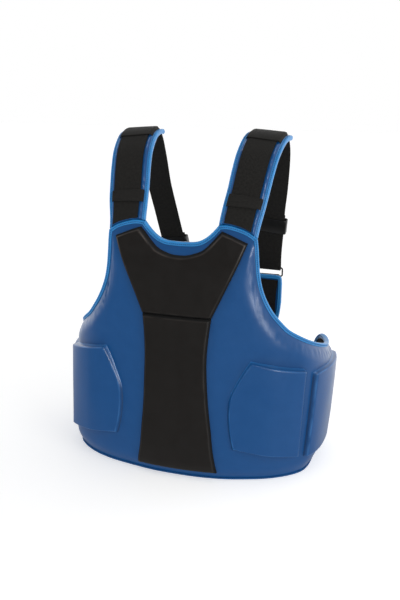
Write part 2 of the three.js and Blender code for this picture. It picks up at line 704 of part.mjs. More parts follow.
function ringFrame() {
  const w = RING_WIDE / 2;
  const h = RING_TALL / 2;
  const shape = new THREE.Shape();
  shape.moveTo(-w + 2, -h);
  shape.lineTo(w - 2, -h);
  shape.lineTo(w, -h + 2);
  shape.lineTo(w, h - 2);
  shape.lineTo(w - 2, h);
  shape.lineTo(-w + 2, h);
  shape.lineTo(-w, h - 2);
  shape.lineTo(-w, -h + 2);
  shape.closePath();
  const hole = new THREE.Path();
  hole.moveTo(-w + RING_BAR, -h + RING_BAR);
  hole.lineTo(-w + RING_BAR, h - RING_BAR);
  hole.lineTo(w - RING_BAR, h - RING_BAR);
  hole.lineTo(w - RING_BAR, -h + RING_BAR);
  hole.closePath();
  shape.holes.push(hole);
  const geometry = new THREE.ExtrudeGeometry(shape, { depth: RING_BAR, bevelEnabled: false });
  geometry.translate(0, 0, -RING_BAR / 2);
  geometry.rotateX(Math.PI / 2);
  geometry.translate(RING_X, ringTop.y, ringBase + h);
  return welded(geometry);
}
addPair('ring', ringFrame(), PLASTIC_BLACK, 0.35, 0.2);

// Tape that hooks over the ring's lower bar and lies down the back of the pad
function ringLoop() {
  const reach = RING_BAR / 2 + GAP + LOOP_WALL / 2;
  const barZ = ringBase + RING_BAR / 2;
  const hook = [[-RING_BAR / 2, reach], [RING_BAR / 2, reach], [reach, RING_BAR / 2], [reach, -RING_BAR]];
  const path = hook.map(([y, z]) => new THREE.Vector2(ringTop.y + y, barZ + z));
  [12, 18, 25, 34, LOOP_DROP].forEach((drop) => {
    const height = barZ - drop;
    const level = backFace(RING_X - LOOP_HALF, height) + LINING_GAP + LOOP_WALL / 2;
    path.push(new THREE.Vector2(backPoint(RING_X - LOOP_HALF, height, level).y, height));
  });
  return loft(path.map((p, i) => {
    const before = path[Math.max(0, i - 1)];
    const after = path[Math.min(path.length - 1, i + 1)];
    const d = after.clone().sub(before).normalize();
    const at = (x, side) => {
      const half = side * LOOP_WALL / 2;
      return new THREE.Vector3(RING_X + x, p.x - d.y * half, p.y + d.x * half);
    };
    return [at(-LOOP_HALF, 1), at(LOOP_HALF, 1), at(LOOP_HALF, -1), at(-LOOP_HALF, -1)];
  }));
}
addPair('ring_loop', ringLoop(), CLOTH_BLACK, 0.75);

// Waist strap from wing to wing behind the back pad
function waistStrap() {
  const half = WAIST_HALF.map(([x, y]) => new THREE.Vector2(x, y));
  const path = [...half.slice(1).reverse().map((p) => new THREE.Vector2(-p.x, p.y)), ...half];
  const rings = path.map((p, i) => {
    const before = path[Math.max(0, i - 1)];
    const after = path[Math.min(path.length - 1, i + 1)];
    const d = after.clone().sub(before).normalize();
    const out = new THREE.Vector2(-d.y, d.x).multiplyScalar(WAIST_WALL / 2);
    const at = (side, z) => new THREE.Vector3(p.x + out.x * side, p.y + out.y * side, z);
    return [at(1, WAIST_Z[0]), at(1, WAIST_Z[1]), at(-1, WAIST_Z[1]), at(-1, WAIST_Z[0])];
  });
  return loft(rings);
}
addPiece('waist_strap', waistStrap(), CLOTH_BLACK, 0.75);

// Rest the part on z = 0 with its box centred on the origin
const box = new THREE.Box3().setFromObject(group);
const centre = box.getCenter(new THREE.Vector3());
group.children.forEach((mesh) => mesh.geometry.translate(-centre.x, -centre.y, -box.min.z));

export default group;
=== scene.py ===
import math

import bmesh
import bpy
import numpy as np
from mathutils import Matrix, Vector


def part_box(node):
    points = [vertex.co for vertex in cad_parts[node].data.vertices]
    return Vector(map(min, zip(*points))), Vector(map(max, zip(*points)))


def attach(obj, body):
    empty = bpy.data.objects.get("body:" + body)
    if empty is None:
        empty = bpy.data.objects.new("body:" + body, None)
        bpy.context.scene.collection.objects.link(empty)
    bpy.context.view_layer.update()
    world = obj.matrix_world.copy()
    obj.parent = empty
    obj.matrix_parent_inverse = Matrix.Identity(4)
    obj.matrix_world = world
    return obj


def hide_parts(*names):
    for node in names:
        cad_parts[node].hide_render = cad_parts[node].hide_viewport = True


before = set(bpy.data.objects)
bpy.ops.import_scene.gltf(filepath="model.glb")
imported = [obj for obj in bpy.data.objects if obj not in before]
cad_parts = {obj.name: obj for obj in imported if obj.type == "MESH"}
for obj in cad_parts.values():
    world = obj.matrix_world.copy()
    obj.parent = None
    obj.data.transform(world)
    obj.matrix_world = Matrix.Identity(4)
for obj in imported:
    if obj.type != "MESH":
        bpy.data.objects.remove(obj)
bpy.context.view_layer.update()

# %% [markdown]
# # Torso protector
# A padded vest for sparring: a blue shell that wraps the chest and the sides, black and blue
# pads raised on it, two padded shoulder straps with black webbing, and a small pad behind.
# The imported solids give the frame. Each piece is made again here with a finer mesh, close to
# the same sizes, and takes the place of its plain solid.

MM = 0.001
CHEST_FRONT = -133.65
column_low, column_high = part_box("chest_column")
SHIFT = np.array([
    (column_low[0] + column_high[0]) / 2 / MM,
    column_low[1] / MM - CHEST_FRONT,
    0.0,
])
print("frame shift in mm", SHIFT.round(2))

# %% [markdown]
# ## The body's surface
# Everything on the vest is placed by three numbers: how far along the wrap, how high, and how
# far out. One plan curve gives the wrap. The upper chest leans back to the shoulders and the
# lower sides tuck in. A soft corner is used where the plain solid has a crease.

# %% Plan curve and body surface
PLAN = [
    (0, -112), (40, -110.5), (80, -104.5), (120, -93.5), (155, -79.5), (183, -61), (203, -40),
    (216, -13), (224, 18), (225, 50), (220, 82), (208, 112), (192, 135), (170, 157),
]
LEAN_Y, LEAN_FROM, LEAN_TO = -84, 200, 440
TUCK_BACK, TUCK_FROM, TUCK_ALONG = 12, 205, (220, 300)
BASE_SHIFT_LEFT, BASE_SHIFT_RIGHT, SHIFT_ALONG = -12, -4, (70, 130)
SOFT_HEIGHT, SOFT_DEPTH, PLAN_STEP = 45, 12, 4


def catmull(points, per, clamped=False):
    """Smooth curve through points, with per steps in each span."""
    p = np.asarray(points, float)
    first = p[0] if clamped else 2 * p[0] - p[1]
    last = p[-1] if clamped else 2 * p[-1] - p[-2]
    ext = np.vstack([first, p, last])
    steps = np.broadcast_to(per, len(p) - 1)
    made = []
    for i, count in enumerate(steps):
        a, b, c, d = ext[i:i + 4]
        t = (np.arange(count) / count)[:, None]
        v0 = (c - a) / 2
        v1 = (d - b) / 2
        made.append((2 * b - 2 * c + v0 + v1) * t**3 + (3 * c - 3 * b - 2 * v0 - v1) * t**2 + v0 * t + b)
    return np.vstack([*made, p[-1:]])


def arc_of(points):
    return np.concatenate([[0], np.cumsum(np.linalg.norm(np.diff(points, axis=0), axis=1))])


def unit(v):
    return v / np.linalg.norm(v, axis=-1, keepdims=True)


def alike(*values):
    """The values as arrays of one shape."""
    return np.broadcast_arrays(*[np.asarray(v, float) for v in values])


def read_at(goal, stops, table):
    """The columns of a table, read at any place between its stops."""
    return np.stack([np.interp(goal, stops, column) for column in np.transpose(table)], -1)


def smoothstep(x, low, high):
    t = np.clip((x - low) / (high - low), 0, 1)
    return t * t * (3 - 2 * t)


def soft_ramp(x, width):
    """Zero below -width, x above width, a smooth bend between."""
    return np.where(x < -width, 0, np.where(x > width, x, (x + width) ** 2 / (4 * width)))


plan = catmull([(-x, y) for x, y in PLAN[:0:-1]] + PLAN, 60, clamped=True)
plan_arc = arc_of(plan)
plan_middle = plan_arc[-1] / 2


def plan_at(along):
    return read_at(along + plan_middle, plan_arc, plan)


def body_point(along, height, out):
    """A place on the vest: so far along the wrap, so high, and so far out from the plan curve."""
    along, height, out = alike(along, height, out)
    p = plan_at(along)
    d = unit(plan_at(along + PLAN_STEP) - plan_at(along - PLAN_STEP))
    rise = soft_ramp(height - LEAN_FROM, SOFT_HEIGHT) / (LEAN_TO - LEAN_FROM)
    lean = soft_ramp(LEAN_Y - p[..., 1], SOFT_DEPTH) * rise
    low = soft_ramp(TUCK_FROM - height, SOFT_HEIGHT) / TUCK_FROM
    tuck = TUCK_BACK * smoothstep(np.abs(along), *TUCK_ALONG) * low
    most = np.where(along < 0, BASE_SHIFT_LEFT, BASE_SHIFT_RIGHT)
    shift = most * smoothstep(np.abs(along), *SHIFT_ALONG) * low
    x = p[..., 0] + d[..., 1] * out + shift - np.sign(along) * tuck
    return np.stack([x, p[..., 1] - d[..., 0] * out + lean, height], -1)


print("plan length in mm", round(plan_arc[-1], 1))

# %% [markdown]
# ## Outlines
# A panel is a row of columns, each with an upper and a lower end. The short tables hold the
# columns at the corners and along the curves, and a smooth curve fills in the rest. The
# distance to an edge then says how thick the padding is at any place.

# %% Panel columns, edges and distances
SHELL = [
    (0, 411, 0, 0), (25, 412.5, 28, 0), (40, 418.5, 43, 0), (53, 429.3, 58, 0),
    (64, 442, 72, 0), (77, 443.5, 85, 0), (93, 441.2, 100, 0), (115, 434.2, 114, 0),
    (131, 424, 128, 0), (133, 407, 135, 0), (135, 382, 142, 0), (137.5, 361, 149, 0), (142, 341, 156, 0),
    (150, 321, 164, 0), (161, 302, 173, 0), (172, 288, 183, 0), (189, 270, 197, 0), (208, 257.5, 213, 0),
    (229, 246, 231, 0), (250, 236.5, 250, 0), (268, 229.5, 268, 0), (286, 223.5, 286, 0),
    (306, 217.5, 306, 0), (328, 213, 328, 0), (352, 211, 352, 0), (374, 210, 373, 0),
    (390, 206.5, 389, 2.5), (403, 196, 403, 10), (409, 184, 409, 21), (411, 169, 411, 36),
]
NECK_CORNER, SHOULDER_CORNER = 4, 8
EDGE_HALF, SHELL_FULL, EDGE_IN, FREE_FACE = 2.5, 13, 2.1, 9
UPPER_FLAT, UPPER_RISE, REST_FLAT, REST_RISE, BASE_LEAD = 8, 70, 6.4, 28, 3
SWAY, SWAY_WAVE, SWAY_SEED = 0.5, 120, 8
AT_ONCE = 3000


def dense(table, corners, step):
    """Columns at a close spacing, smooth between the corner columns; also where the corners are."""
    t = np.array(table, float)
    stops = [0, *corners, len(t) - 1]
    made, marks, total = [], [], 0
    for a, b in zip(stops, stops[1:]):
        part = t[a:b + 1]
        spans = np.diff(part, axis=0)
        size = np.maximum(np.hypot(spans[:, 0], spans[:, 1]), np.hypot(spans[:, 2], spans[:, 3]))
        piece = catmull(part, np.maximum(1, np.ceil(size / step)).astype(int))[:-1]
        made.append(piece)
        total += len(piece)
        marks.append(total)
    return np.vstack([*made, t[-1:]]), marks[:-1]


def both_halves(half):
    flipped = half[:0:-1] * np.array([-1, 1, -1, 1])
    return np.vstack([flipped, half])


def outline_of(columns):
    return np.vstack([columns[:, :2], columns[::-1, 2:]])


def columns_of(outline):
    """The columns between the upper and the lower half of a closed outline."""
    count = len(outline) // 2
    return np.hstack([outline[:count], outline[:count - 1:-1]])


def closed_line(outline):
    return np.vstack([outline, outline[:1]])


def pairs(a, b):
    return np.stack([np.ravel(a), np.ravel(b)], 1)


def signed_area(outline):
    x, y = outline.T
    return np.sum(x * np.roll(y, -1) - y * np.roll(x, -1)) / 2


def quarter_turn(v):
    return np.stack([-v[:, 1], v[:, 0]], 1)


def inward_of(outline):
    """Inward offset at each corner of a closed outline, so that offset edges keep their distance."""
    before = unit(outline - np.roll(outline, 1, 0))
    after = unit(np.roll(outline, -1, 0) - outline)
    side = 1 if signed_area(outline) > 0 else -1
    inward = quarter_turn(unit(before + after)) * side
    square = quarter_turn(before) * side
    return inward / np.sum(inward * square, axis=1, keepdims=True)


def distance(points, line):
    """Distance from points to an open line, and the arc length of the nearest place on it."""
    a, b = line[:-1], line[1:]
    ab = b - a
    size = np.maximum(np.sum(ab * ab, 1), 1e-9)
    arc = arc_of(line)[:-1]
    best = np.empty(len(points))
    where = np.empty(len(points))
    for k in range(0, len(points), AT_ONCE):
        q = points[k:k + AT_ONCE, None, :] - a[None]
        t = np.clip(np.sum(q * ab[None], 2) / size, 0, 1)
        gap = np.linalg.norm(q - t[..., None] * ab[None], axis=2)
        near = gap.argmin(1)
        rows = np.arange(len(near))
        best[k:k + AT_ONCE] = gap[rows, near]
        where[k:k + AT_ONCE] = arc[near] + t[rows, near] * np.sqrt(size[near])
    return best, where


shell_half, (neck_mark, shoulder_mark) = dense(SHELL, [NECK_CORNER, SHOULDER_CORNER], 3.5)
shell_columns = both_halves(shell_half)
shell_outline = outline_of(shell_columns)
shell_inward = inward_of(shell_outline)
shell_count = len(shell_columns)
shell_middle = len(shell_half) - 1
shoulder_left, shoulder_right = shell_middle - shoulder_mark, shell_middle + shoulder_mark
neck_left, neck_right = shell_middle - neck_mark, shell_middle + neck_mark
UPPER_EDGE = shell_outline[shoulder_left:shoulder_right + 1]
LEFT_EDGE = shell_outline[:shoulder_left + 1]
RIGHT_EDGE = shell_outline[shoulder_right:shell_count + 1]
BASE_EDGE = np.vstack([shell_outline[shell_count:], shell_outline[:1]])
print("shell columns", shell_count)


def ripple(u, v, wave, seed, count=14):
    """Soft uneven waves between about -1 and 1, the same on every run."""
    rng = np.random.default_rng(seed)
    total = np.zeros(np.shape(u))
    for angle, size, phase in rng.uniform(0, 1, (count, 3)):
        k = 2 * math.pi / (wave * (0.7 + 0.9 * size))
        a = 2 * math.pi * angle
        total = total + np.sin(k * (u * math.cos(a) + v * math.sin(a)) + 2 * math.pi * phase)
    return total / math.sqrt(count)


def shell_face(along, height):
    """How far the shell's padding stands out, from the distance to its bound edges."""
    points = pairs(along, height)
    upper = distance(points, UPPER_EDGE)[0]
    rest = np.minimum(distance(points, LEFT_EDGE)[0], distance(points, RIGHT_EDGE)[0])
    rest = np.minimum(rest, distance(points, BASE_EDGE)[0] + BASE_LEAD)
    slow = np.clip((upper - UPPER_FLAT) / UPPER_RISE, 0, 1)
    fast = np.clip((rest - REST_FLAT) / REST_RISE, 0, 1)
    full = np.minimum(slow * (2 - slow), np.sin(fast * math.pi / 2))
    face = EDGE_HALF + (SHELL_FULL - EDGE_HALF) * full
    face += SWAY * ripple(*points.T, SWAY_WAVE, SWAY_SEED) * smoothstep(face, EDGE_HALF, FREE_FACE)
    return face.reshape(np.shape(along))


# %% [markdown]
# ## Finishes
# The vest has a handful of finishes: smooth synthetic leather in blue and black, a lighter
# folded tape, woven webbing and lining, and black plastic. Grain and weave are needed more
# than once, so each is a node group with its own inputs. Every finish reads the object's
# coordinates or the piece's own flat map, so nothing slides when the view changes.

# %% Node groups for grain and weave


def texture_group(name, **sizes):
    """A node group with a vector and named sizes in, and a height and a mottle out."""
    group = bpy.data.node_groups.new(name, "ShaderNodeTree")
    group.interface.new_socket("Vector", in_out="INPUT", socket_type="NodeSocketVector")
    for label, value in sizes.items():
        socket = group.interface.new_socket(label, in_out="INPUT", socket_type="NodeSocketFloat")
        socket.default_value = value
    for label in ("Height", "Mottle"):
        group.interface.new_socket(label, in_out="OUTPUT", socket_type="NodeSocketFloat")
    return group, group.nodes.new("NodeGroupInput"), group.nodes.new("NodeGroupOutput")


def add(tree, kind, settings=None, **links):
    """A node with its settings, and its inputs filled by values or by other sockets."""
    node = tree.nodes.new(kind)
    for key, value in (settings or {}).items():
        setattr(node, key, value)
    for key, value in links.items():
        socket = node.inputs[int(key[1:])] if key[0] == "i" and key[1:].isdigit() else node.inputs[key]
        if hasattr(value, "is_linked"):
            tree.links.new(value, socket)
        else:
            socket.default_value = value
    return node


def math_node(tree, operation, a, b=0.0, c=0.0):
    return add(tree, "ShaderNodeMath", {"operation": operation}, i0=a, i1=b, i2=c).outputs[0]


def mix_value(tree, factor, a, b):
    return add(tree, "ShaderNodeMix", {"data_type": "FLOAT"}, i0=factor, i2=a, i3=b).outputs[0]


def mix_colour(tree, factor, a, b):
    return add(tree, "ShaderNodeMix", {"data_type": "RGBA"}, i0=factor, i6=a, i7=b).outputs[2]


def map_range(tree, value, source, target, smooth=False):
    """A value carried from one span to another, and kept within it."""
    kind = "SMOOTHSTEP" if smooth else "LINEAR"
    node = add(tree, "ShaderNodeMapRange", {"interpolation_type": kind}, Value=value)
    for label, number in zip(("From Min", "From Max", "To Min", "To Max"), (*source, *target)):
        node.inputs[label].default_value = number
    return node.outputs[0]


grain_group, g_in, g_out = texture_group("leather_grain", Cell=900.0, Crease=40.0)
cells = add(grain_group, "ShaderNodeTexVoronoi", {"feature": "DISTANCE_TO_EDGE"},
            Vector=g_in.outputs["Vector"], Scale=g_in.outputs["Cell"])
creases = add(grain_group, "ShaderNodeTexNoise", Vector=g_in.outputs["Vector"], Scale=g_in.outputs["Crease"],
              Detail=6.0, Roughness=0.7)
pebble = math_node(grain_group, "MINIMUM", math_node(grain_group, "MULTIPLY", cells.outputs[0], 4.0), 1.0)
height = math_node(grain_group, "MULTIPLY_ADD", creases.outputs[0], 0.5, pebble)
grain_group.links.new(height, g_out.inputs["Height"])
grain_group.links.new(creases.outputs[0], g_out.inputs["Mottle"])

weave_group, w_in, w_out = texture_group("plain_weave", Threads=900.0, Rib=300.0)
split = add(weave_group, "ShaderNodeSeparateXYZ", Vector=w_in.outputs["Vector"])
warp, weft = (
    math_node(weave_group, "SINE", math_node(weave_group, "MULTIPLY", split.outputs[k], w_in.outputs[label]))
    for k, label in enumerate(("Threads", "Rib"))
)
over = math_node(weave_group, "MULTIPLY", warp, weft)
lift = math_node(weave_group, "MULTIPLY_ADD", weft, 0.6, over)
fuzz = add(weave_group, "ShaderNodeTexNoise", Vector=w_in.outputs["Vector"], Scale=260.0, Detail=3.0)
weave_group.links.new(lift, w_out.inputs["Height"])
weave_group.links.new(fuzz.outputs[0], w_out.inputs["Mottle"])
print("node groups", grain_group.name, weave_group.name)

# %% [markdown]
# ## Leather, tape, cloth and plastic
# The blue leather is semi-gloss and nearly even in colour, so it gets a faint mottle and a
# fine grain. Two attributes paint light and shade onto a piece: a thin lighter line, a painted
# highlight along the ridge and the upper foot of a pad, and a dark one, painted shade at the
# foot of a pad or in the groove of the tape. The tape is lighter than the leather and a little duller.

# %% Materials
MOTTLE = (0.3, 0.7)
SHADE_ROUGH, WEAVE_SHEEN = 0.95, 0.03


def srgb(*levels):
    """A screen colour with three levels from 0 to 255, as linear light."""
    return [((c / 255 + 0.055) / 1.055) ** 2.4 if c > 10 else c / 255 / 12.92 for c in levels] + [1.0]


def start_material(name, rough, specular, sheen=0.0):
    material = bpy.data.materials.new(name)
    material.use_nodes = True
    tree = material.node_tree
    shader = tree.nodes["Principled BSDF"]
    shader.inputs["Roughness"].default_value = rough
    shader.inputs["Specular IOR Level"].default_value = specular
    shader.inputs["Sheen Weight"].default_value = sheen
    return material, tree, shader


def placed_group(tree, group, vector, **values):
    node = tree.nodes.new("ShaderNodeGroup")
    node.node_tree = group
    tree.links.new(vector, node.inputs["Vector"])
    for key, value in values.items():
        node.inputs[key].default_value = value
    return node


def finish_surface(tree, shader, group, dark, light, rough, depth, strength):
    """Colour and roughness from the group's mottle, bump from its height."""
    ramp = add(tree, "ShaderNodeValToRGB", Fac=group.outputs["Mottle"])
    for stop, place, colour in zip(ramp.color_ramp.elements, MOTTLE, (dark, light)):
        stop.position = place
        stop.color = colour
    spread = map_range(tree, group.outputs["Mottle"], MOTTLE, rough)
    bump = add(tree, "ShaderNodeBump", Height=group.outputs["Height"], Strength=strength, Distance=depth)
    tree.links.new(spread, shader.inputs["Roughness"])
    tree.links.new(bump.outputs[0], shader.inputs["Normal"])
    tree.links.new(ramp.outputs[0], shader.inputs["Base Color"])
    return ramp.outputs[0], spread


def mark_on(tree, name):
    return add(tree, "ShaderNodeAttribute", {"attribute_name": name}).outputs["Fac"]


def leather(name, dark, light, shade_paint, rough, specular, highlight=None):
    """Grained leather; shade_paint is the colour of painted shade at a foot or in a groove, highlight that of
    a painted highlight line.
    """
    material, tree, shader = start_material(name, rough[0], specular)
    where = tree.nodes.new("ShaderNodeTexCoord").outputs["Object"]
    group = placed_group(tree, grain_group, where, Cell=1100.0, Crease=45.0)
    colour, roughness = finish_surface(tree, shader, group, dark, light, rough, 0.0002, 0.05)
    # A painted highlight line, where the piece marks it.
    if highlight:
        colour = mix_colour(tree, mark_on(tree, "painted_highlight"), colour, highlight)
    # Painted shade at feet and in grooves: a darker colour and a duller gloss.
    foot = mark_on(tree, "painted_shade")
    tree.links.new(mix_colour(tree, foot, colour, shade_paint), shader.inputs["Base Color"])
    tree.links.new(mix_value(tree, foot, roughness, SHADE_ROUGH), shader.inputs["Roughness"])
    return material


def woven(name, dark, light, rough, threads, rib, depth):
    material, tree, shader = start_material(name, rough[0], 0.09, WEAVE_SHEEN)
    flat = add(tree, "ShaderNodeUVMap", {"uv_map": "flat"}).outputs[0]
    group = placed_group(tree, weave_group, flat, Threads=threads, Rib=rib)
    finish_surface(tree, shader, group, dark, light, rough, depth, 0.6)
    return material


# Each leather: a mottle from dark to light, the colour of its painted shade, its roughness and gloss, and for
# some the colour of a painted highlight line.
BLUE_LEATHER = leather("blue_leather", srgb(8, 70, 126), srgb(10, 74, 131), srgb(4, 34, 68),
                       (0.28, 0.32), 0.45, highlight=srgb(44, 104, 164))
BLACK_LEATHER = leather("black_leather", srgb(26, 23, 21), srgb(30, 27, 25), srgb(9, 8, 8),
                        (0.33, 0.41), 0.38, highlight=srgb(80, 72, 67))
EDGE_TAPE = leather("edge_tape", srgb(30, 122, 186), srgb(38, 134, 200), srgb(10, 62, 122), (0.34, 0.44), 0.4)
LINING = woven("lining_cloth", srgb(24, 23, 23), srgb(33, 32, 31), (0.75, 0.85), 5200.0, 5200.0, 0.0002)
WEBBING = woven("webbing", srgb(25, 24, 23), srgb(36, 35, 33), (0.7, 0.82), 2600.0, 3600.0, 0.0004)
KEEPER_BAND = woven("keeper_band", srgb(28, 27, 26), srgb(35, 34, 32), (0.6, 0.72), 5000.0, 2400.0, 0.0003)


def plastic(name, dark, light):
    material, tree, shader = start_material(name, 0.4, 0.4)
    where = tree.nodes.new("ShaderNodeTexCoord").outputs["Object"]
    group = placed_group(tree, grain_group, where, Cell=2200.0, Crease=60.0)
    finish_surface(tree, shader, group, dark, light, (0.36, 0.46), 0.0002, 0.15)
    return material


BLACK_PLASTIC = plastic("black_plastic", srgb(18, 18, 18), srgb(26, 26, 26))
THREAD = plastic("thread", srgb(48, 132, 196), srgb(70, 156, 214))
print("materials", len(bpy.data.materials))

# %% [markdown]
# ## From numbers to pieces
# All shapes below are grids of points. A panel has an outer and an inner grid joined round
# the rim; a tape or a strap is a closed section carried along a path. Two helpers turn such
# grids into closed meshes with their faces outward.

# %% Mesh helpers
SHORTEST = 2.6


def new_piece(name, verts, faces, material, slot, node, crease=None, flat=None, marks=None):
    """A finished piece in the frame: its mesh in metres, its finish, and the solid it stands for."""
    mesh = bpy.data.meshes.new(name)
    mesh.from_pydata(((np.asarray(verts) + SHIFT) * MM).tolist(), [], faces)
    if flat is not None:
        layer = mesh.uv_layers.new(name="flat")
        index = np.empty(len(mesh.loops), np.int32)
        mesh.loops.foreach_get("vertex_index", index)
        layer.data.foreach_set("uv", (np.asarray(flat)[index] * MM).astype(np.float32).ravel())
    for key, values in (marks or {}).items():
        attribute = mesh.attributes.new(key, "FLOAT", "POINT")
        attribute.data.foreach_set("value", np.asarray(values, np.float32).ravel())
    work = bmesh.new()
    work.from_mesh(mesh)
    bmesh.ops.recalc_face_normals(work, faces=work.faces)
    work.to_mesh(mesh)
    work.free()
    mesh.polygons.foreach_set("use_smooth", [True] * len(mesh.polygons))
    if crease:
        mesh.set_sharp_from_angle(angle=math.radians(crease))
    mesh.materials.append(material)
    piece = bpy.data.objects.new(name, mesh)
    bpy.context.scene.collection.objects.link(piece)
    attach(piece, "root")
    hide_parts(node)
    print(f"{name}: {len(mesh.vertices)} points, {len(mesh.polygons)} faces")
    return piece


def quads(index):
    return np.stack([index[:-1, :-1], index[1:, :-1], index[1:, 1:], index[:-1, 1:]], -1).reshape(-1, 4)


def panel_mesh(outer, inner):
    """Points and faces of a closed panel between two grids of the same size."""
    columns, rows = outer.shape[:2]
    index = np.arange(columns * rows).reshape(columns, rows)
    rim = np.concatenate([index[:-1, 0], index[-1, :-1], index[:0:-1, -1], index[0, :0:-1]])
    after = np.roll(rim, -1)
    under = columns * rows
    sides = np.stack([rim, after, after + under, rim + under], -1)
    faces = np.concatenate([quads(index), quads(index)[:, ::-1] + under, sides])
    return np.concatenate([outer.reshape(-1, 3), inner.reshape(-1, 3)]), faces.tolist()


def panel_piece(name, s, z, outer, inner, material, slot, node, **more):
    """A panel between two grids as a piece, its flat map taken from the places of the grid."""
    verts, faces = panel_mesh(outer, inner)
    return new_piece(name, verts, faces, material, slot, node, flat=np.tile(pairs(s, z), (2, 1)), **more)


def swept_mesh(rings, closed=False):
    """Points and faces of a section carried along a path; an open path gets its ends filled."""
    count, size = rings.shape[:2]
    index = np.arange(count * size).reshape(count, size)
    around = np.concatenate([index, index[:, :1]], 1)
    if closed:
        around = np.concatenate([around, around[:1]], 0)
    faces = quads(around).tolist()
    if not closed:
        half = size // 2
        for ring in (index[0], index[-1]):
            faces += [[int(ring[k]), int(ring[k + 1]), int(ring[size - 2 - k]), int(ring[size - 1 - k])]
                      for k in range(half - 1)]
    return rings.reshape(-1, 3), faces


def swept_piece(name, rings, material, slot, node, closed=False, **more):
    verts, faces = swept_mesh(rings, closed)
    return new_piece(name, verts, faces, material, slot, node, **more)


def row_shares(length, near, count):
    """Places down a column, close together near both ends, as shares of its length."""
    ends = np.array(near) * min(1, length / (SHORTEST * near[-1]))
    middle = np.linspace(ends[-1], length - ends[-1], count + 2)[1:-1]
    return np.concatenate([ends, middle, (length - ends)[::-1]]) / length


def column_grid(columns, near, count):
    size = np.hypot(columns[:, 0] - columns[:, 2], columns[:, 1] - columns[:, 3])
    share = np.array([row_shares(k, near, count) for k in size])
    along = columns[:, :1] + (columns[:, 2:3] - columns[:, :1]) * share
    height = columns[:, 1:2] + (columns[:, 3:] - columns[:, 1:2]) * share
    return along, height


# %% [markdown]
# ## Settling the leather
# Leather over foam is never quite even: it is held along the sewing and under the pads, and
# it puffs between. A short cloth simulation does this. One face of a pad becomes a sheet, the
# held points are pinned, and a trace of spare cloth and a light air pressure lift the rest.
# Only the move straight out is kept, smoothed and capped, so the pad keeps its size.

# %% Cloth simulation of a padded face
CLOTH = {
    "quality": 6, "mass": 0.3, "tension_stiffness": 18, "compression_stiffness": 18, "shear_stiffness": 8,
    "bending_stiffness": 0.05, "vertex_group_mass": "held", "use_pressure": True,
}
SETTLE_FRAMES, BLUR_SQUARE, LOOSE_BELOW, LOOSE_AT_ONCE = 20, 60, 0.98, 300


def settle(name, grid, held, spare, pressure, cap):
    """The movement of each point of a padded face, in mm, after a short cloth simulation."""
    index = np.arange(held.size).reshape(held.shape)
    mesh = bpy.data.meshes.new(name)
    mesh.from_pydata((grid.reshape(-1, 3) * MM).tolist(), [], quads(index)[:, ::-1].tolist())
    sheet = bpy.data.objects.new(name, mesh)
    bpy.context.scene.collection.objects.link(sheet)
    group = sheet.vertex_groups.new(name="held")
    steps = np.round(np.clip(held.ravel(), 0, 1), 2)
    for value in np.unique(steps[steps > 0]):
        group.add(np.flatnonzero(steps == value).tolist(), float(value), "REPLACE")
    cloth = sheet.modifiers.new("cloth", "CLOTH")
    for key, value in CLOTH.items():
        setattr(cloth.settings, key, value)
    cloth.settings.shrink_min = -spare
    cloth.settings.uniform_pressure_force = pressure
    cloth.settings.effector_weights.gravity = 0
    cloth.collision_settings.use_collision = False
    cloth.point_cache.frame_start, cloth.point_cache.frame_end = 1, SETTLE_FRAMES
    for frame_number in range(1, SETTLE_FRAMES + 1):
        bpy.context.scene.frame_set(frame_number)
    moved = sheet.evaluated_get(bpy.context.evaluated_depsgraph_get()).to_mesh()
    place = np.empty(held.size * 3, np.float32)
    moved.vertices.foreach_get("co", place)
    bpy.data.objects.remove(sheet)
    bpy.context.scene.frame_set(1)
    move = place.reshape(grid.shape) / MM - grid
    across = np.cross(np.gradient(grid, axis=0), np.gradient(grid, axis=1))
    area = np.linalg.norm(across, axis=-1)
    across /= area[..., None]
    points, lift = grid.reshape(-1, 3), (move * across).sum(-1).ravel()
    eased = np.zeros(held.size)
    loose = np.flatnonzero(held.ravel() < LOOSE_BELOW)
    for some in np.array_split(loose, 1 + loose.size // LOOSE_AT_ONCE):
        apart = (points[some] ** 2).sum(1)[:, None] + (points ** 2).sum(1) - 2 * points[some] @ points.T
        share = np.exp(-apart / BLUR_SQUARE) * area.ravel()
        eased[some] = share @ lift / share.sum(1)
    eased = eased.reshape(held.shape) * (1 - np.clip(held, 0, 1))
    print(f"{name}: {loose.size} free points moved {np.abs(eased).sum() / loose.size:.2f} mm on average, "
          f"{np.abs(eased).max():.2f} mm at most before the cap")
    return across * np.clip(eased, -cap, cap)[..., None]


# %% [markdown]
# ## Shell
# The shell is one padded wrap of blue leather over foam. Its edge is pressed flat under the
# tape and swells beside it. Along the armholes the leather is drawn in by the sewing, so
# short puckers run from the tape into the panel. The pads hide most of the front.

# %% Shell
NEAR_EDGE = [0, 1.5, 3.2, 5, 7, 8.6, 10, 11.6, 13.4, 15.6, 18.4, 22, 27, 33, 40]
PUCKER_AT, PUCKER_WIDE, PUCKER_LOWEST = 15, 8, 150
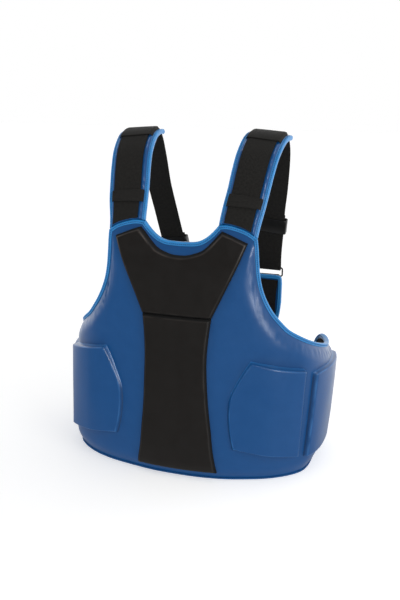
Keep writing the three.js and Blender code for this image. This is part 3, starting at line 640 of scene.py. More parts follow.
# Each set of puckers has a depth, a slant, a wave length and its own place in the seeds.
PUCKERS = [(0.4, 0.35, 16, 0), (0.5, 0.3, 8, 10)]
YOKE_HALF, YOKE_FOOT, YOKE_TALL, YOKE_SLANT = 58.5, 291, 125, 0.448
HELD_BESIDE, HELD_BELOW, HELD_NEAR, HELD_ROWS = (1, 6), (222, 240), (7.2, 15), 6
shell_s, shell_z = column_grid(columns_of(shell_outline + shell_inward * EDGE_IN), NEAR_EDGE, 38)
shell_points = pairs(shell_s, shell_z)
puckers = np.zeros(len(shell_points))
near_edge = np.full(len(shell_points), np.inf)
for line, seed in ((LEFT_EDGE, 3), (RIGHT_EDGE, 4)):
    gap, arc = distance(shell_points, line)
    band = np.exp(-((gap - PUCKER_AT) / PUCKER_WIDE) ** 2) * (shell_points[:, 1] > PUCKER_LOWEST)
    folds = [depth * ripple(arc, gap * slant, wave, seed + more) for depth, slant, wave, more in PUCKERS]
    puckers += band * sum(folds)
    near_edge = np.minimum(near_edge, gap)
shell_base = shell_face(shell_s, shell_z)
free = smoothstep(shell_base, EDGE_HALF, FREE_FACE)
shell_grid = body_point(shell_s, shell_z, shell_base + puckers.reshape(shell_s.shape) * free)
yoke_edge = YOKE_HALF + np.clip(shell_z - YOKE_FOOT, 0, YOKE_TALL) * YOKE_SLANT
under_yoke = 1 - smoothstep(np.abs(shell_s) - yoke_edge, *HELD_BESIDE)
under_pads = np.maximum(under_yoke, 1 - smoothstep(shell_z, *HELD_BELOW))
held = np.maximum(under_pads, 1 - smoothstep(near_edge, *HELD_NEAR).reshape(shell_s.shape))
held[:, :HELD_ROWS] = held[:, -HELD_ROWS:] = 1
held[:HELD_ROWS] = held[-HELD_ROWS:] = 1
shell_move = settle("shell_settling", shell_grid, held, spare=0.002, pressure=35.0, cap=2.2)
shell = panel_piece("shell_cover", shell_s, shell_z, shell_grid + shell_move,
                    body_point(shell_s, shell_z, -EDGE_HALF), BLUE_LEATHER, "blue_leather", "shell")

# %% [markdown]
# ## Lining
# The inside is faced with a black woven cloth that lies flat on the foam. It is a thin sheet
# set in from the edges, so that the tape covers its cut edge.

# %% Shell lining
LINING_NEAR, LINING_FAR, LINING_IN, LINING_ENDS = 3.3, 4.3, 9.0, 8
LINING_ROWS, LINING_LIFT, LINING_WAVE, LINING_SEED = [0, 6, 14, 26], 0.25, 60, 21


def lining_piece(name, node, outline, inward, place):
    columns = columns_of(outline + inward * LINING_IN)[LINING_ENDS:-LINING_ENDS]
    s, z = column_grid(columns, LINING_ROWS, 24)
    wave = LINING_LIFT * ripple(s, z, LINING_WAVE, LINING_SEED)
    piece = panel_piece(name, s, z, place(s, z, wave - LINING_NEAR), place(s, z, wave - LINING_FAR),
                        LINING, "lining", node, crease=40)
    cut = outline_of(columns)
    area = abs(signed_area(cut)) * MM * MM
    size = tuple(np.ptp(cut, axis=0) * MM)
    print(name, "flat size", [round(v, 3) for v in size], "area", round(area, 4))
    return piece, size, area


shell_lining, size, area = lining_piece("shell_lining_cloth", "shell_lining", shell_outline, shell_inward,
                                        body_point)

# %% [markdown]
# ## Edge tape
# Every edge of the shell is bound with a folded tape. Its outer fold is a soft roll, and a
# row of stitches presses it down near its inner edge. One section, drawn once, is carried
# along each stretch of the outline. Corners are mitred by the offset of the outline.

# %% Edge tape
TAPE_REACH, BASE_REACH, STRAP_REACH = 6.8, 2.4, 5.8
TAPE_OUTER = [
    (6.8, 2.75), (6.7, 3.4), (6.2, 3.8), (5.4, 3.85), (4.6, 3.6), (4.0, 3.0), (3.4, 3.7), (2.5, 4.35),
    (1.5, 4.15), (0.6, 3.1), (0.1, 1.6), (0, 0),
]
TAPE_INNER = [(6.8, 2.6), (2.0, 2.6), (2.0, -2.6), (6.8, -2.6)]
STITCH_AT, END_BACK, BASE_SHADE = (4.0, 3.3), 0.25, 0.75


def tape_section(reach=TAPE_REACH):
    """Section of the folded tape; a shorter reach folds less of it over the face."""
    half = np.array(TAPE_OUTER)
    half[:, 0] *= reach / TAPE_REACH
    outer = np.vstack([half, half[-2::-1] * [1, -1]])
    path = np.array(TAPE_INNER)
    path[[0, -1], 0] = reach
    arc = arc_of(path)
    inner = read_at(np.linspace(0, arc[-1], len(outer)), arc, path)
    return np.vstack([outer, inner[::-1]])


def tape_rings(line, inward, place, section):
    q = line[:, None, :] + inward[:, None, :] * section[None, :, :1]
    return place(q[..., 0], q[..., 1], section[:, 1])


def tape_marks(rings, least=0.0):
    """Painted shade in the sewn groove and at the inner rim of the tape; least is the least shade anywhere on
    it.
    """
    half = np.array([0.5, 0.2, 0, 0, 0.4, 1, 0.4, 0, 0, 0, 0, 0])
    ring = np.concatenate([half, half[-2::-1], np.zeros(rings.shape[1] - 2 * len(half) + 1)]).clip(least)
    return {"painted_shade": np.tile(ring, len(rings))}


def tape_piece(name, node, rings, **more):
    """A tape as a piece, its flat map around and along the tape."""
    flat = np.stack(np.meshgrid(arc_of(rings[0]), arc_of(rings[:, 0])), -1).reshape(-1, 2)
    return swept_piece(name, rings, EDGE_TAPE, "edge_tape", node, crease=50, flat=flat, **more)


def open_ends(line):
    """The same line, drawn back a little at both ends."""
    made = line.copy()
    for end, near in ((0, 1), (-1, -2)):
        step = line[near] - line[end]
        made[end] = line[end] + unit(step) * END_BACK
    return made


stitch_lines = {"shell": [], "straps": [], "back": []}
ring_order = np.arange(len(shell_outline))
lower_from, lower_to = shell_count, 2 * shell_count - 1
TAPE_RUNS = {
    "neck_binding": ring_order[neck_left:neck_right + 1],
    "shoulder_binding_left": ring_order[shoulder_left:neck_left + 1],
    "shoulder_binding_right": ring_order[neck_right:shoulder_right + 1],
    "armhole_binding_left": np.concatenate([[lower_to], ring_order[:shoulder_left + 1]]),
    "armhole_binding_right": ring_order[shoulder_right:lower_from + 1],
    "bottom_binding": ring_order[lower_from:lower_to + 1],
}
for name, run in TAPE_RUNS.items():
    # The whole bottom tape gets painted shade.
    reach, least = (BASE_REACH, BASE_SHADE) if name == "bottom_binding" else (TAPE_REACH, 0.0)
    line = open_ends(shell_outline[run])
    rings = tape_rings(line, shell_inward[run], body_point, tape_section(reach))
    tape_piece(f"{name}_tape", name, rings, marks=tape_marks(rings, least))
    sewn = line[1:-1] + shell_inward[run][1:-1] * STITCH_AT[0] * reach / TAPE_REACH
    stitch_lines["shell"].append(body_point(*sewn.T, STITCH_AT[1]))

# %% [markdown]
# ## Chest pads
# A black yoke and a black column stand on the front, with a narrow groove between them.
# Their leather is wrapped over firm foam, so the wall is steep and the bevel ends in a crisp
# line. A height that depends on the distance to the outline gives wall, bevel and flat top.

# %% Raised pads
PAD_SEAT = -0.3
YOKE = [
    (0, 291, 0, 390), (11, 291, 11, 390.5), (22, 291, 23, 393.5), (32, 291, 39, 400.5),
    (40, 291, 53.5, 414.5), (46, 291, 63, 425.5), (50.5, 291, 70, 432.8), (53, 291, 85, 427.6),
    (55, 291, 99, 422), (56.8, 291, 108.5, 418.2), (58.5, 291, 114.5, 416),
]
YOKE_CORNER = 6
COLUMN_EDGE = [(15, 71), (53, 64.5), (91, 61), (138, 56.5), (178, 54), (219, 53), (257, 55), (290.6, 58.5)]
CHEST_PROFILE = [
    (0, 0.1), (0.5, 0.42), (1.1, 0.62), (1.9, 0.77), (3, 0.9), (4.2, 1.0), (5.3, 1.02), (8, 1.015), (14, 1),
]
# A black pad is painted in shade at its whole foot and under its inner face.
CHEST = {
    "height": 7.5, "profile": CHEST_PROFILE, "ridge": 4.4, "shade_paint": 1.0,
    "material": BLACK_LEATHER, "slot": "black_leather",
}
PAD_NEAR = [0, 0.5, 1.1, 1.9, 3, 4.2, 5.3, 6.3, 8, 11, 15]
CROWN_REACH, UNEVEN, UNEVEN_WAVE, UNEVEN_FROM = 40, 0.18, 70, (3, 16)
HIGHLIGHT_WIDE, HIGHLIGHT_LEVEL, HIGHLIGHT_PATCHY, HIGHLIGHT_WAVE = 0.7, 0.5, 0.4, 30
TOP_ROWS, TOP_LINE, TOP_WIDE, TOP_WEIGHT = (0.8, 0.95), 0.6, 0.9, 0.9
FOOT_WIDE, FOOT_LINE, FOOT_WEIGHT = 3.3, 1.1, 0.65


def raised_pad(name, node, s, z, outline, seed, height, profile, ridge, material, slot,
               crown=0.0, shade_paint=0.0, highlight_share=1.0):
    """A padded block on the shell: inner face on the leather, outer face by distance to its outline."""
    gap = distance(pairs(s, z), closed_line(outline))[0].reshape(s.shape)
    gap[[0, -1]] = 0
    gap[:, [0, -1]] = 0
    base = shell_face(s, z) + PAD_SEAT
    rise = np.interp(gap, *np.array(profile).T) * height + crown * (1 - np.exp(-gap / CROWN_REACH))
    rise += UNEVEN * ripple(s, z, UNEVEN_WAVE, seed) * smoothstep(gap, *UNEVEN_FROM)
    # Painted highlight: a thin lighter line along the ridge of the bevel, patchy along its length.
    patches = HIGHLIGHT_LEVEL + HIGHLIGHT_PATCHY * ripple(s, z, HIGHLIGHT_WAVE, seed + 1)
    highlight_line = highlight_share * np.exp(-((gap - ridge) / HIGHLIGHT_WIDE) ** 2) * patches
    # Painted light from above: on a blue pad the top rows get a painted highlight line at the foot.
    top = np.broadcast_to(smoothstep(np.linspace(0, 1, s.shape[1]), *TOP_ROWS), s.shape)
    highlight_line += (1 - shade_paint) * top * np.exp(-((gap - TOP_LINE) / TOP_WIDE) ** 2) * TOP_WEIGHT
    # Painted shade at the foot: all round a black pad, and on a blue pad a thin line on every side but the
    # top.
    foot = shade_paint * np.exp(-(gap / FOOT_WIDE) ** 6)
    foot += (1 - shade_paint) * (1 - top) * np.exp(-(gap / FOOT_LINE) ** 2) * FOOT_WEIGHT
    marks = {
        "painted_highlight": np.concatenate([np.clip(highlight_line, 0, 1).ravel(), np.zeros(s.size)]),
        "painted_shade": np.concatenate([foot.ravel(), np.full(s.size, shade_paint)]),
    }
    piece = panel_piece(name, s, z, body_point(s, z, base + rise), body_point(s, z, base),
                        material, slot, node, crease=60, marks=marks)


yoke_half, _ = dense(YOKE, [YOKE_CORNER], 1.6)
yoke_columns = both_halves(yoke_half)
yoke_s, yoke_z = column_grid(yoke_columns, PAD_NEAR, 30)
# The painted highlight on the yoke grows stronger towards its top.
raised_pad("chest_yoke_pad", "chest_yoke", yoke_s, yoke_z, outline_of(yoke_columns), 31,
           highlight_share=0.2 + 0.8 * smoothstep(yoke_z, 345, 400), **CHEST)

edge_curve = catmull(COLUMN_EDGE, 12)
low, high = COLUMN_EDGE[0][0], COLUMN_EDGE[-1][0]
column_rows = low + (high - low) * row_shares(high - low, PAD_NEAR, 50)
column_half = np.interp(column_rows, edge_curve[:, 0], edge_curve[:, 1])
column_share = row_shares(120, PAD_NEAR, 22) * 2 - 1
column_s = column_share[:, None] * column_half[None]
column_z = np.broadcast_to(column_rows, column_s.shape).copy()
column_outline = np.vstack([pairs(column_s[0], column_z[0]), pairs(column_s[-1], column_z[-1])[::-1]])
raised_pad("chest_column_pad", "chest_column", column_s, column_z, column_outline, 41, highlight_share=0.25, **CHEST)

# %% [markdown]
# ## Side pads
# The blue side pads are moulded with the cover: the leather runs up a small hollow fillet,
# over a rounded edge and onto a nearly flat top. A vertical bend line parts the front pad
# from the one behind it. The same function makes them, with a softer profile.

# %% Side pads
SIDE_PAD = [
    (101, 62, 93.5, 152), (107.5, 60.7, 98, 166), (116, 59, 108, 187), (126, 57, 118, 206),
    (136, 55, 128, 222), (149, 52.5, 143, 218.5), (163, 50, 159, 215), (177, 47.6, 175, 211.2),
    (191, 45.2, 191, 207.4), (204.5, 42.8, 210, 203), (211, 41.7, 217, 201.4),
]
SIDE_CORNER = 4
REAR_PAD = [
    (224, 36, 236, 189), (231, 35.5, 242.5, 190.5), (246, 35, 254, 191), (262, 34.5, 267, 191),
    (278, 34, 281, 190.5), (295, 34, 296, 190), (313, 34.5, 313, 189), (330, 35, 330, 188),
    (347, 36, 347, 187), (362, 37, 362, 186), (375, 41, 375, 181), (381, 48, 381, 174),
]
SIDE_HEIGHT, SIDE_FRONT, REAR_HEIGHT, SIDE_BOW, PAD_SHIFT = 13, 5.5, 8.5, 4, -4.25
SIDE_PROFILE = [
    (0, 0.0), (0.5, 0.08), (1.1, 0.26), (1.8, 0.54), (2.4, 0.79), (3, 0.93), (3.7, 0.985),
    (4.6, 1.0), (14, 1),
]
BLUE_PAD = {
    "profile": SIDE_PROFILE, "ridge": 3.2, "crown": 1.0, "material": BLUE_LEATHER, "slot": "blue_leather",
}
SIDE_NEAR = [0, 0.5, 1.1, 1.8, 2.4, 3, 3.7, 4.6, 6.5, 10, 15]


def side_grid(table, corners, bow, sign):
    """The grid of a side pad, its front edge bowed forward, and the outline round the grid."""
    columns, _ = dense(table, corners, 2.0)
    s, z = column_grid(columns, SIDE_NEAR, 30)
    share = (z - columns[:, 1:2]) / (columns[:, 3:] - columns[:, 1:2])
    across = np.linspace(0, 1, len(columns))[:, None]
    s = s - bow * 4 * share * (1 - share) * (1 - across) ** 2
    s = s * sign + PAD_SHIFT
    rim = np.concatenate([
        pairs(s[:, 0], z[:, 0]), pairs(s[-1], z[-1])[1:],
        pairs(s[::-1, -1], z[::-1, -1])[1:], pairs(s[0, ::-1], z[0, ::-1])[1:-1],
    ])
    return s, z, rim


for side, sign in (("left", -1), ("right", 1)):
    s, z, rim = side_grid(SIDE_PAD, [SIDE_CORNER], SIDE_BOW, sign)
    tall = SIDE_FRONT + (SIDE_HEIGHT - SIDE_FRONT) * smoothstep(np.abs(s), 95, 165)
    raised_pad(f"side_pad_{side}_cover", f"side_pad_{side}", s, z, rim, 51 + sign, tall, **BLUE_PAD)
    s, z, rim = side_grid(REAR_PAD, [], 0, sign)
    # The rear pads get a stronger painted highlight along their rims.
    raised_pad(f"rear_pad_{side}_cover", f"rear_pad_{side}", s, z, rim, 61 + sign, REAR_HEIGHT,
               highlight_share=1.5, **BLUE_PAD)

# %% [markdown]
# ## Shoulder straps
# Each strap follows a path from the shoulder seam over the top and down the back. A frame is
# kept at every millimetre of the path: across the strap, along it and out from it. Strap,
# tape, webbing, keepers and slider are then drawn flat and carried onto the path.

# %% Strap path
STRAP_PATH = [
    (97.5, -86, 424, 0), (99, -75, 448, 0), (101, -64.5, 471, 0), (104, -52, 496, 0), (107, -38, 523, 1.5),
    (110, -20, 548, 3), (113, 8, 568, 4), (115, 34, 574.5, 4), (116, 56, 572.5, 4), (117, 75, 562.5, 3),
    (117, 91, 544, 2), (115, 102, 514, 1), (111.5, 110, 476, 0), (106.5, 119, 440, 0), (102, 131, 406, 0),
    (97, 142, 372, 0), (93.5, 150.9, 341, 0), (92.5, 156, 309.5, 0),
]
STRAP_HALF, STRAP_RIM, STRAP_SPREAD, STRAP_FULL, STRAP_END = 32.4, 1.8, 0.08, 5.5, 219
STRAP_OUT = STRAP_HALF + STRAP_RIM
SEAM_EASE, SEAM_RISE, SEAM_ASIDE = 60, 1.1, 1
FRAME_BEFORE, FRAME_AFTER, SPREAD_STOPS = 45.0, 20, (10, 120)
path = catmull(STRAP_PATH, 60)
path_arc = arc_of(path[:, :3])
strap_length = path_arc[-1]
FRAME_AT = np.arange(-FRAME_BEFORE, strap_length + FRAME_AFTER)


def path_at(along):
    p = read_at(np.clip(along, 0, strap_length), path_arc, path)
    return p[..., :3], p[..., 3]


origin, roll = path_at(FRAME_AT)
clipped = np.clip(FRAME_AT, 1, strap_length - 1)
way = unit(path_at(clipped + 1)[0] - path_at(clipped - 1)[0])
origin = origin + way * (FRAME_AT - np.clip(FRAME_AT, 0, strap_length))[:, None]
across = unit(np.array([1.0, 0, 0]) - way * way[:, :1])
out = unit(np.cross(across, way))
turn = np.radians(roll)[:, None]
across = across * np.cos(turn) - out * np.sin(turn)
out = unit(np.cross(across, way))


def path_point(u, along, level):
    u, along, level = alike(u, along, level)
    centre, side, up = (read_at(along, FRAME_AT, table) for table in (origin, across, out))
    past = smoothstep(along - STRAP_END, *SPREAD_STOPS)
    wider = 1 + STRAP_SPREAD * np.clip(along / STRAP_END, 0, 1) * (1 - past)
    return centre + side * (u * wider)[..., None] + up * level[..., None]


def seam_start(u):
    """Where the strap meets the shoulder seam, as a length along the path."""
    seam = np.array(SHELL[NECK_CORNER:SHOULDER_CORNER + 1])
    height = np.interp(STRAP_PATH[0][0] + u + SEAM_ASIDE, seam[:, 0], seam[:, 1])
    return (height - STRAP_PATH[0][2]) * SEAM_RISE


shoulder_line = shell_outline[neck_right:shoulder_right + 1]
shoulder_arc = arc_of(shoulder_line)
SEAM_U = np.linspace(-STRAP_OUT, STRAP_OUT, 60)
seam_goal = (SEAM_U - SEAM_U[0]) / (SEAM_U[-1] - SEAM_U[0]) * shoulder_arc[-1]
seam_places = read_at(seam_goal, shoulder_arc, shoulder_line)
SEAM_MOVE = body_point(*seam_places.T, 0) - path_point(SEAM_U, seam_start(SEAM_U), 0)


def strap_point(u, along, level):
    """A place on the strap; near the seam the strap is eased onto the shell's shoulder edge."""
    u, along, level = alike(u, along, level)
    start = seam_start(u)
    ease = 1 - smoothstep(along, start, start + SEAM_EASE)
    return path_point(u, along, level) + read_at(u, SEAM_U, SEAM_MOVE) * ease[..., None]


def mirror_x(points):
    return points * np.array([-1, 1, 1])


def as_drawn(points):
    return points


SIDES = {"left": mirror_x, "right": as_drawn}
print("strap path length in mm", round(strap_length, 1))
print("largest move at the seam in mm", round(np.abs(SEAM_MOVE).max(), 2))

# %% [markdown]
# ## Padded strap
# The strap is a thin pad of blue leather. Between the webbing and the tape a narrow strip of
# it shows, puffed up in short folds, and pressed down where the keepers cross it.

# %% Strap pads and their tape
WEB_HALF, WEB_THICK, WEB_SIDE = 23.4, 2.0, -1.0
KEEPERS = {"lower": (48, 67), "upper": (171, 210)}
MARGIN_U = np.array([-32.4, -31, -29.4, -27.8, -26.6, -25.4, -24.2, -23, -21.5, -19])
MARGIN_AT, MARGIN_WIDE, MARGIN_PUFF, KEEPER_PRESS = 25.8, 2.2, 1.8, 0.85
FOLD, FOLD_SLANT, FOLD_WAVE, FOLD_SEED = 0.7, 0.3, 13, 71
STRAP_FLAT, STRAP_ROUND, SEAM_BACK, STRAP_ROWS, END_STEPS = 3.4, 4.0, 0.5, 90, 24
strap_u = np.concatenate([MARGIN_U, np.linspace(-15, 15, 9), -MARGIN_U[::-1]])
strap_share = np.linspace(0, 1, STRAP_ROWS)


def strap_along(u, share):
    start = seam_start(u)
    return start + (STRAP_END - start) * share


def strap_face(u, along):
    edge = np.minimum(STRAP_HALF - np.abs(u), STRAP_END - along)
    t = np.clip((edge - STRAP_FLAT) / STRAP_ROUND, 0, 1)
    return EDGE_HALF + (STRAP_FULL - EDGE_HALF) * np.sqrt(1 - (1 - t) ** 2)


grid_u, grid_share = np.meshgrid(strap_u, strap_share, indexing="ij")
grid_along = strap_along(grid_u, grid_share)
margin = np.exp(-((np.abs(grid_u) - MARGIN_AT) / MARGIN_WIDE) ** 2)
for start, stop in KEEPERS.values():
    pressed = smoothstep(grid_along, start - 8, start - 1) * (1 - smoothstep(grid_along, stop + 1, stop + 8))
    margin *= 1 - KEEPER_PRESS * pressed
folds = FOLD * ripple(grid_along, grid_u * FOLD_SLANT, FOLD_WAVE, FOLD_SEED)
strap_swell = strap_face(grid_u, grid_along)
strap_top = strap_swell + margin * (MARGIN_PUFF + folds)
edges = {}
for sign in (-1, 1):
    edge_u = np.full(STRAP_ROWS, sign * STRAP_OUT)
    edges[sign] = pairs(edge_u, strap_along(edge_u, strap_share) + SEAM_BACK)
    edges[sign][-1, 1] = STRAP_END + STRAP_RIM
end_u = np.linspace(-STRAP_OUT, STRAP_OUT, END_STEPS)[1:-1]
end_line = pairs(end_u, np.full(len(end_u), STRAP_END + STRAP_RIM))
strap_line = np.vstack([edges[-1], end_line, edges[1][::-1]])
strap_inward = inward_of(strap_line)
strap_inward[[0, -1]] = [[1, 0], [-1, 0]]

for side, turned in SIDES.items():
    top, back = (turned(strap_point(grid_u, grid_along, level)) for level in (strap_top, -strap_swell))
    strap = panel_piece(f"shoulder_strap_{side}_pad", grid_u, grid_along, top, back,
                        BLUE_LEATHER, "blue_leather", f"shoulder_strap_{side}")
    rings = turned(tape_rings(strap_line, strap_inward, strap_point, tape_section(STRAP_REACH)))
    tape_piece(f"strap_binding_{side}_tape", f"strap_binding_{side}", rings, marks=tape_marks(rings))
    sewn = strap_line + strap_inward * STITCH_AT[0] * STRAP_REACH / TAPE_REACH
    for level in (STITCH_AT[1], -STITCH_AT[1]):
        stitch_lines["straps"].append(turned(strap_point(*sewn[2:-2].T, level)))

# %% [markdown]
# ## Webbing
# The webbing is a flat woven band, modelled directly: a thin section with rounded edges on a
# path. It lies on the strap, hangs down the back, turns round the ring and comes back up
# through the slider.

# %% Webbing
WEB_GAP, WEB_CUT, WEB_CUT_EASE = 0.4, 0.6, 40
WEB_LEVEL = STRAP_FULL + WEB_GAP + WEB_THICK / 2
WEB_START, WEB_SPREAD, RING_REACH, SLIDER_HEIGHT = 16, 3.6, 8, 28
SLIDER_AT = {"left": 471, "right": 417}
WEB_SECTION = np.array([
    (-1, 0.5), (-0.985, 0.92), (-0.94, 1), (-0.5, 1), (0, 1), (0.5, 1), (0.94, 1), (0.985, 0.92), (1, 0.5),
])


def band_rings(lines, levels, half, thick, place):
    """Rings of a flat band along a path of (along, level), square to the path."""
    path = np.stack([lines, levels], 1)
    upper = quarter_turn(unit(np.gradient(path, axis=0))) * thick / 2
    rings = []
    for side, share in ((1, WEB_SECTION), (-1, WEB_SECTION[::-1])):
        q = path[:, None, :] + upper[:, None, :] * (share[None, :, 1:] * side)
        rings.append(place(np.broadcast_to(share[:, 0] * half, q.shape[:2]), q[..., 0], q[..., 1]))
    return np.concatenate(rings, 1)


def band_piece(name, node, rings, half):
    """A woven band as a piece, its flat map across and along the band."""
    across_band = np.tile(np.concatenate([WEB_SECTION[:, 0], WEB_SECTION[::-1, 0]]) * half, len(rings))
    along_band = np.repeat(arc_of(rings.mean(1)), rings.shape[1])
    swept_piece(name, rings, WEBBING, "webbing", node, crease=60, flat=pairs(across_band, along_band))


def web_path(slider_at):
    end = strap_length - RING_REACH
    top = slider_at - SLIDER_HEIGHT / 2 - 2
    down = np.concatenate([np.arange(WEB_START, end - 6, 4.0), [end - 3]])
    leaves = smoothstep(down, STRAP_END + 2, STRAP_END + 60)
    drift = smoothstep(down, slider_at - 90, top)
    level = WEB_LEVEL * (1 - leaves) - WEB_SPREAD * drift
    angle = np.linspace(0, math.pi, 13)
    up = down[down > top - 6][::-1]
    lines = np.concatenate([down, end + WEB_SPREAD * np.sin(angle), up])
    levels = np.concatenate([level, -WEB_SPREAD * np.cos(angle), np.full(len(up), WEB_SPREAD)])
    return lines, levels


def on_strap(side):
    """Places the webbing a little off the strap's middle, its first end cut along the shoulder seam."""
    def placed(u, along, level):
        moved = u + side
        start = seam_start(moved) + WEB_CUT
        cut = np.clip(1 - (along - WEB_START) / WEB_CUT_EASE, 0, 1)
        return strap_point(moved, along + (start - WEB_START) * cut, level)
    return placed


for side, turned in SIDES.items():
    sideways = WEB_SIDE if side == "right" else -WEB_SIDE
    rings = turned(band_rings(*web_path(SLIDER_AT[side]), WEB_HALF, WEB_THICK, on_strap(sideways)))
    band_piece(f"shoulder_webbing_{side}_band", f"shoulder_webbing_{side}", rings, WEB_HALF)

# %% [markdown]
# ## Keepers and sliders
# Two bands on each strap hold the webbing down: a narrow one above the seam and a wide one at
# the top. They bend down beside the webbing to the tape. The slider is a moulded sleeve with
# rounded ends, swept as a closed ring.

# %% Keepers
KEEPER_PATH = np.array([
    (-28, 4.4), (-27.4, 5.8), (-26.6, 7.5), (-25.4, 8.75), (-23.4, 9.2), (-12, 9.3), (0, 9.35),
    (12, 9.3), (23.4, 9.2), (25.4, 8.75), (26.6, 7.5), (27.4, 5.8), (28, 4.4),
])
KEEPER_WALL, KEEPER_LIP, KEEPER_THIN = 1.2, 0.4, 0.55
half_wall = quarter_turn(unit(np.gradient(KEEPER_PATH, axis=0))) * KEEPER_WALL / 2
section = np.vstack([KEEPER_PATH + half_wall, (KEEPER_PATH - half_wall)[::-1]])
core = np.vstack([KEEPER_PATH, KEEPER_PATH[::-1]])
for name, (start, stop) in KEEPERS.items():
    rows = np.arange(start + 2, stop - 1.5, 2.0)
    stops = np.concatenate([[start, start + KEEPER_LIP], rows, [stop - KEEPER_LIP, stop]])
    thin = np.ones(len(stops))
    thin[[0, -1]] = KEEPER_THIN
    q = core + (section - core) * thin[:, None, None]
    band = strap_point(q[..., 0], stops[:, None], q[..., 1])
    flat = pairs(np.tile(section[:, 0], len(stops)), np.repeat(stops, len(section)))
    for side, turned in SIDES.items():
        node = f"keeper_{name}_{side}"
        swept_piece(f"{node}_band", turned(band), KEEPER_BAND, "keeper", node, crease=50, flat=flat)

# %% Sliders
SLIDER_WIDE, SLIDER_THICK, SLIDER_ROUND = 27.5, 7.2, 3.2
HOLE_WIDE, HOLE_THICK, HOLE_ROUND, HOLE_FLARE = 24.9, 5.3, 2.6, 0.4
ROUND_END = [(-14, 0.9), (-13.6, 0.3), (-12.8, 0), (12.8, 0), (13.6, 0.3), (14, 0.9)]


def rounded_box(wide, tall, radius, steps=5):
    """Closed outline of a box with round corners, from its half sizes."""
    made = []
    for cx, cy, first in ((1, 1, 0), (-1, 1, 90), (-1, -1, 180), (1, -1, 270)):
        for a in np.radians(first + 90 * np.arange(steps + 1) / steps):
            x = cx * (wide - radius) + radius * math.cos(a)
            y = cy * (tall - radius) + radius * math.sin(a)
            made.append((x, y))
    return np.array(made)


def slider_rings(at):
    """Rings of a sleeve round the webbing: up its outer face and back down its hole."""
    outer = [(offset, SLIDER_WIDE - inset, SLIDER_THICK - inset, SLIDER_ROUND) for offset, inset in ROUND_END]
    hole = [(offset, HOLE_WIDE + inset * HOLE_FLARE, HOLE_THICK + inset * HOLE_FLARE, HOLE_ROUND)
            for offset, inset in ROUND_END[::-1]]
    rings = []
    for offset, wide, thick, radius in outer + hole:
        line = rounded_box(wide, thick, radius)
        rings.append(np.column_stack([line, np.full(len(line), offset)]))
    rings = np.array(rings)
    centre, side, level, ahead = (read_at(at, FRAME_AT, table) for table in (origin, across, out, way))
    return centre + rings[..., :1] * side + rings[..., 1:2] * level + rings[..., 2:] * ahead


for side, turned in SIDES.items():
    rings = turned(slider_rings(SLIDER_AT[side]))
    swept_piece(f"slider_{side}_loop", rings, BLACK_PLASTIC, "plastic", f"slider_{side}",
                closed=True, crease=40)

# %% [markdown]
# ## Back pad
# A small padded panel hangs behind the back from the two rings. Its inner face is black cloth
# and its edge is bound like the shell's. The outer face is hidden in the photograph, so it
# is plain blue leather, swelled a little.

# %% Back pad
BACK = [
    (0, 305, 0, 112), (25, 305, 24, 114), (50, 305, 46, 120), (72, 305, 68, 134), (90, 305, 86, 155),
    (106, 305, 101, 181), (114.5, 303.8, 111, 204), (119.3, 300, 117, 228), (120.5, 288, 120, 252),
]
BACK_EDGE_Y, BACK_BOW, BACK_HALF, BACK_FULL = 146, 4, 120, 10
BACK_FLAT, BACK_RISE, BACK_UNEVEN, BACK_WAVE, BACK_SEED = 9.5, 26, 0.25, 60, 81


def back_point(along, height, level):
    along, height, level = alike(along, height, level)
    bow = BACK_BOW * (1 - (along / BACK_HALF) ** 2)
    return np.stack([along, BACK_EDGE_Y + bow + level, height], -1)


back_half, _ = dense(BACK, [], 3.0)
back_outline = outline_of(both_halves(back_half))
back_inward = inward_of(back_outline)
back_rim = closed_line(back_outline)


def back_face(s, z):
    gap = distance(pairs(s, z), back_rim)[0].reshape(np.shape(s))
    t = np.clip((gap - BACK_FLAT) / BACK_RISE, 0, 1)
    return EDGE_HALF + (BACK_FULL - EDGE_HALF) * np.sin(t * math.pi / 2)


back_s, back_z = column_grid(columns_of(back_outline + back_inward * EDGE_IN), NEAR_EDGE, 22)
back_out = back_face(back_s, back_z)
back_out += BACK_UNEVEN * ripple(back_s, back_z, BACK_WAVE, BACK_SEED) * smoothstep(back_out, 3, 8)
back_pad = panel_piece("back_pad_cover", back_s, back_z, back_point(back_s, back_z, back_out),
                       back_point(back_s, back_z, -EDGE_HALF), BLUE_LEATHER, "blue_leather", "back_pad")
back_lining, size, area = lining_piece("back_lining_cloth", "back_lining", back_outline, back_inward,
                                       back_point)
rings = tape_rings(back_outline, back_inward, back_point, tape_section())
tape_piece("back_binding_tape", "back_binding", rings, closed=True)
sewn = closed_line(back_outline + back_inward * STITCH_AT[0])
for level in (STITCH_AT[1], -STITCH_AT[1]):
    stitch_lines["back"].append(back_point(*sewn.T, level))

# %% [markdown]
# ## Rings, loops and waist strap
# A wire-like ring takes the webbing at each upper corner of the back pad, and a short tape
# holds its lower bar on the pad. A plain strap behind the back closes the vest. The last two
# don't show in the photograph, so they stay plain.

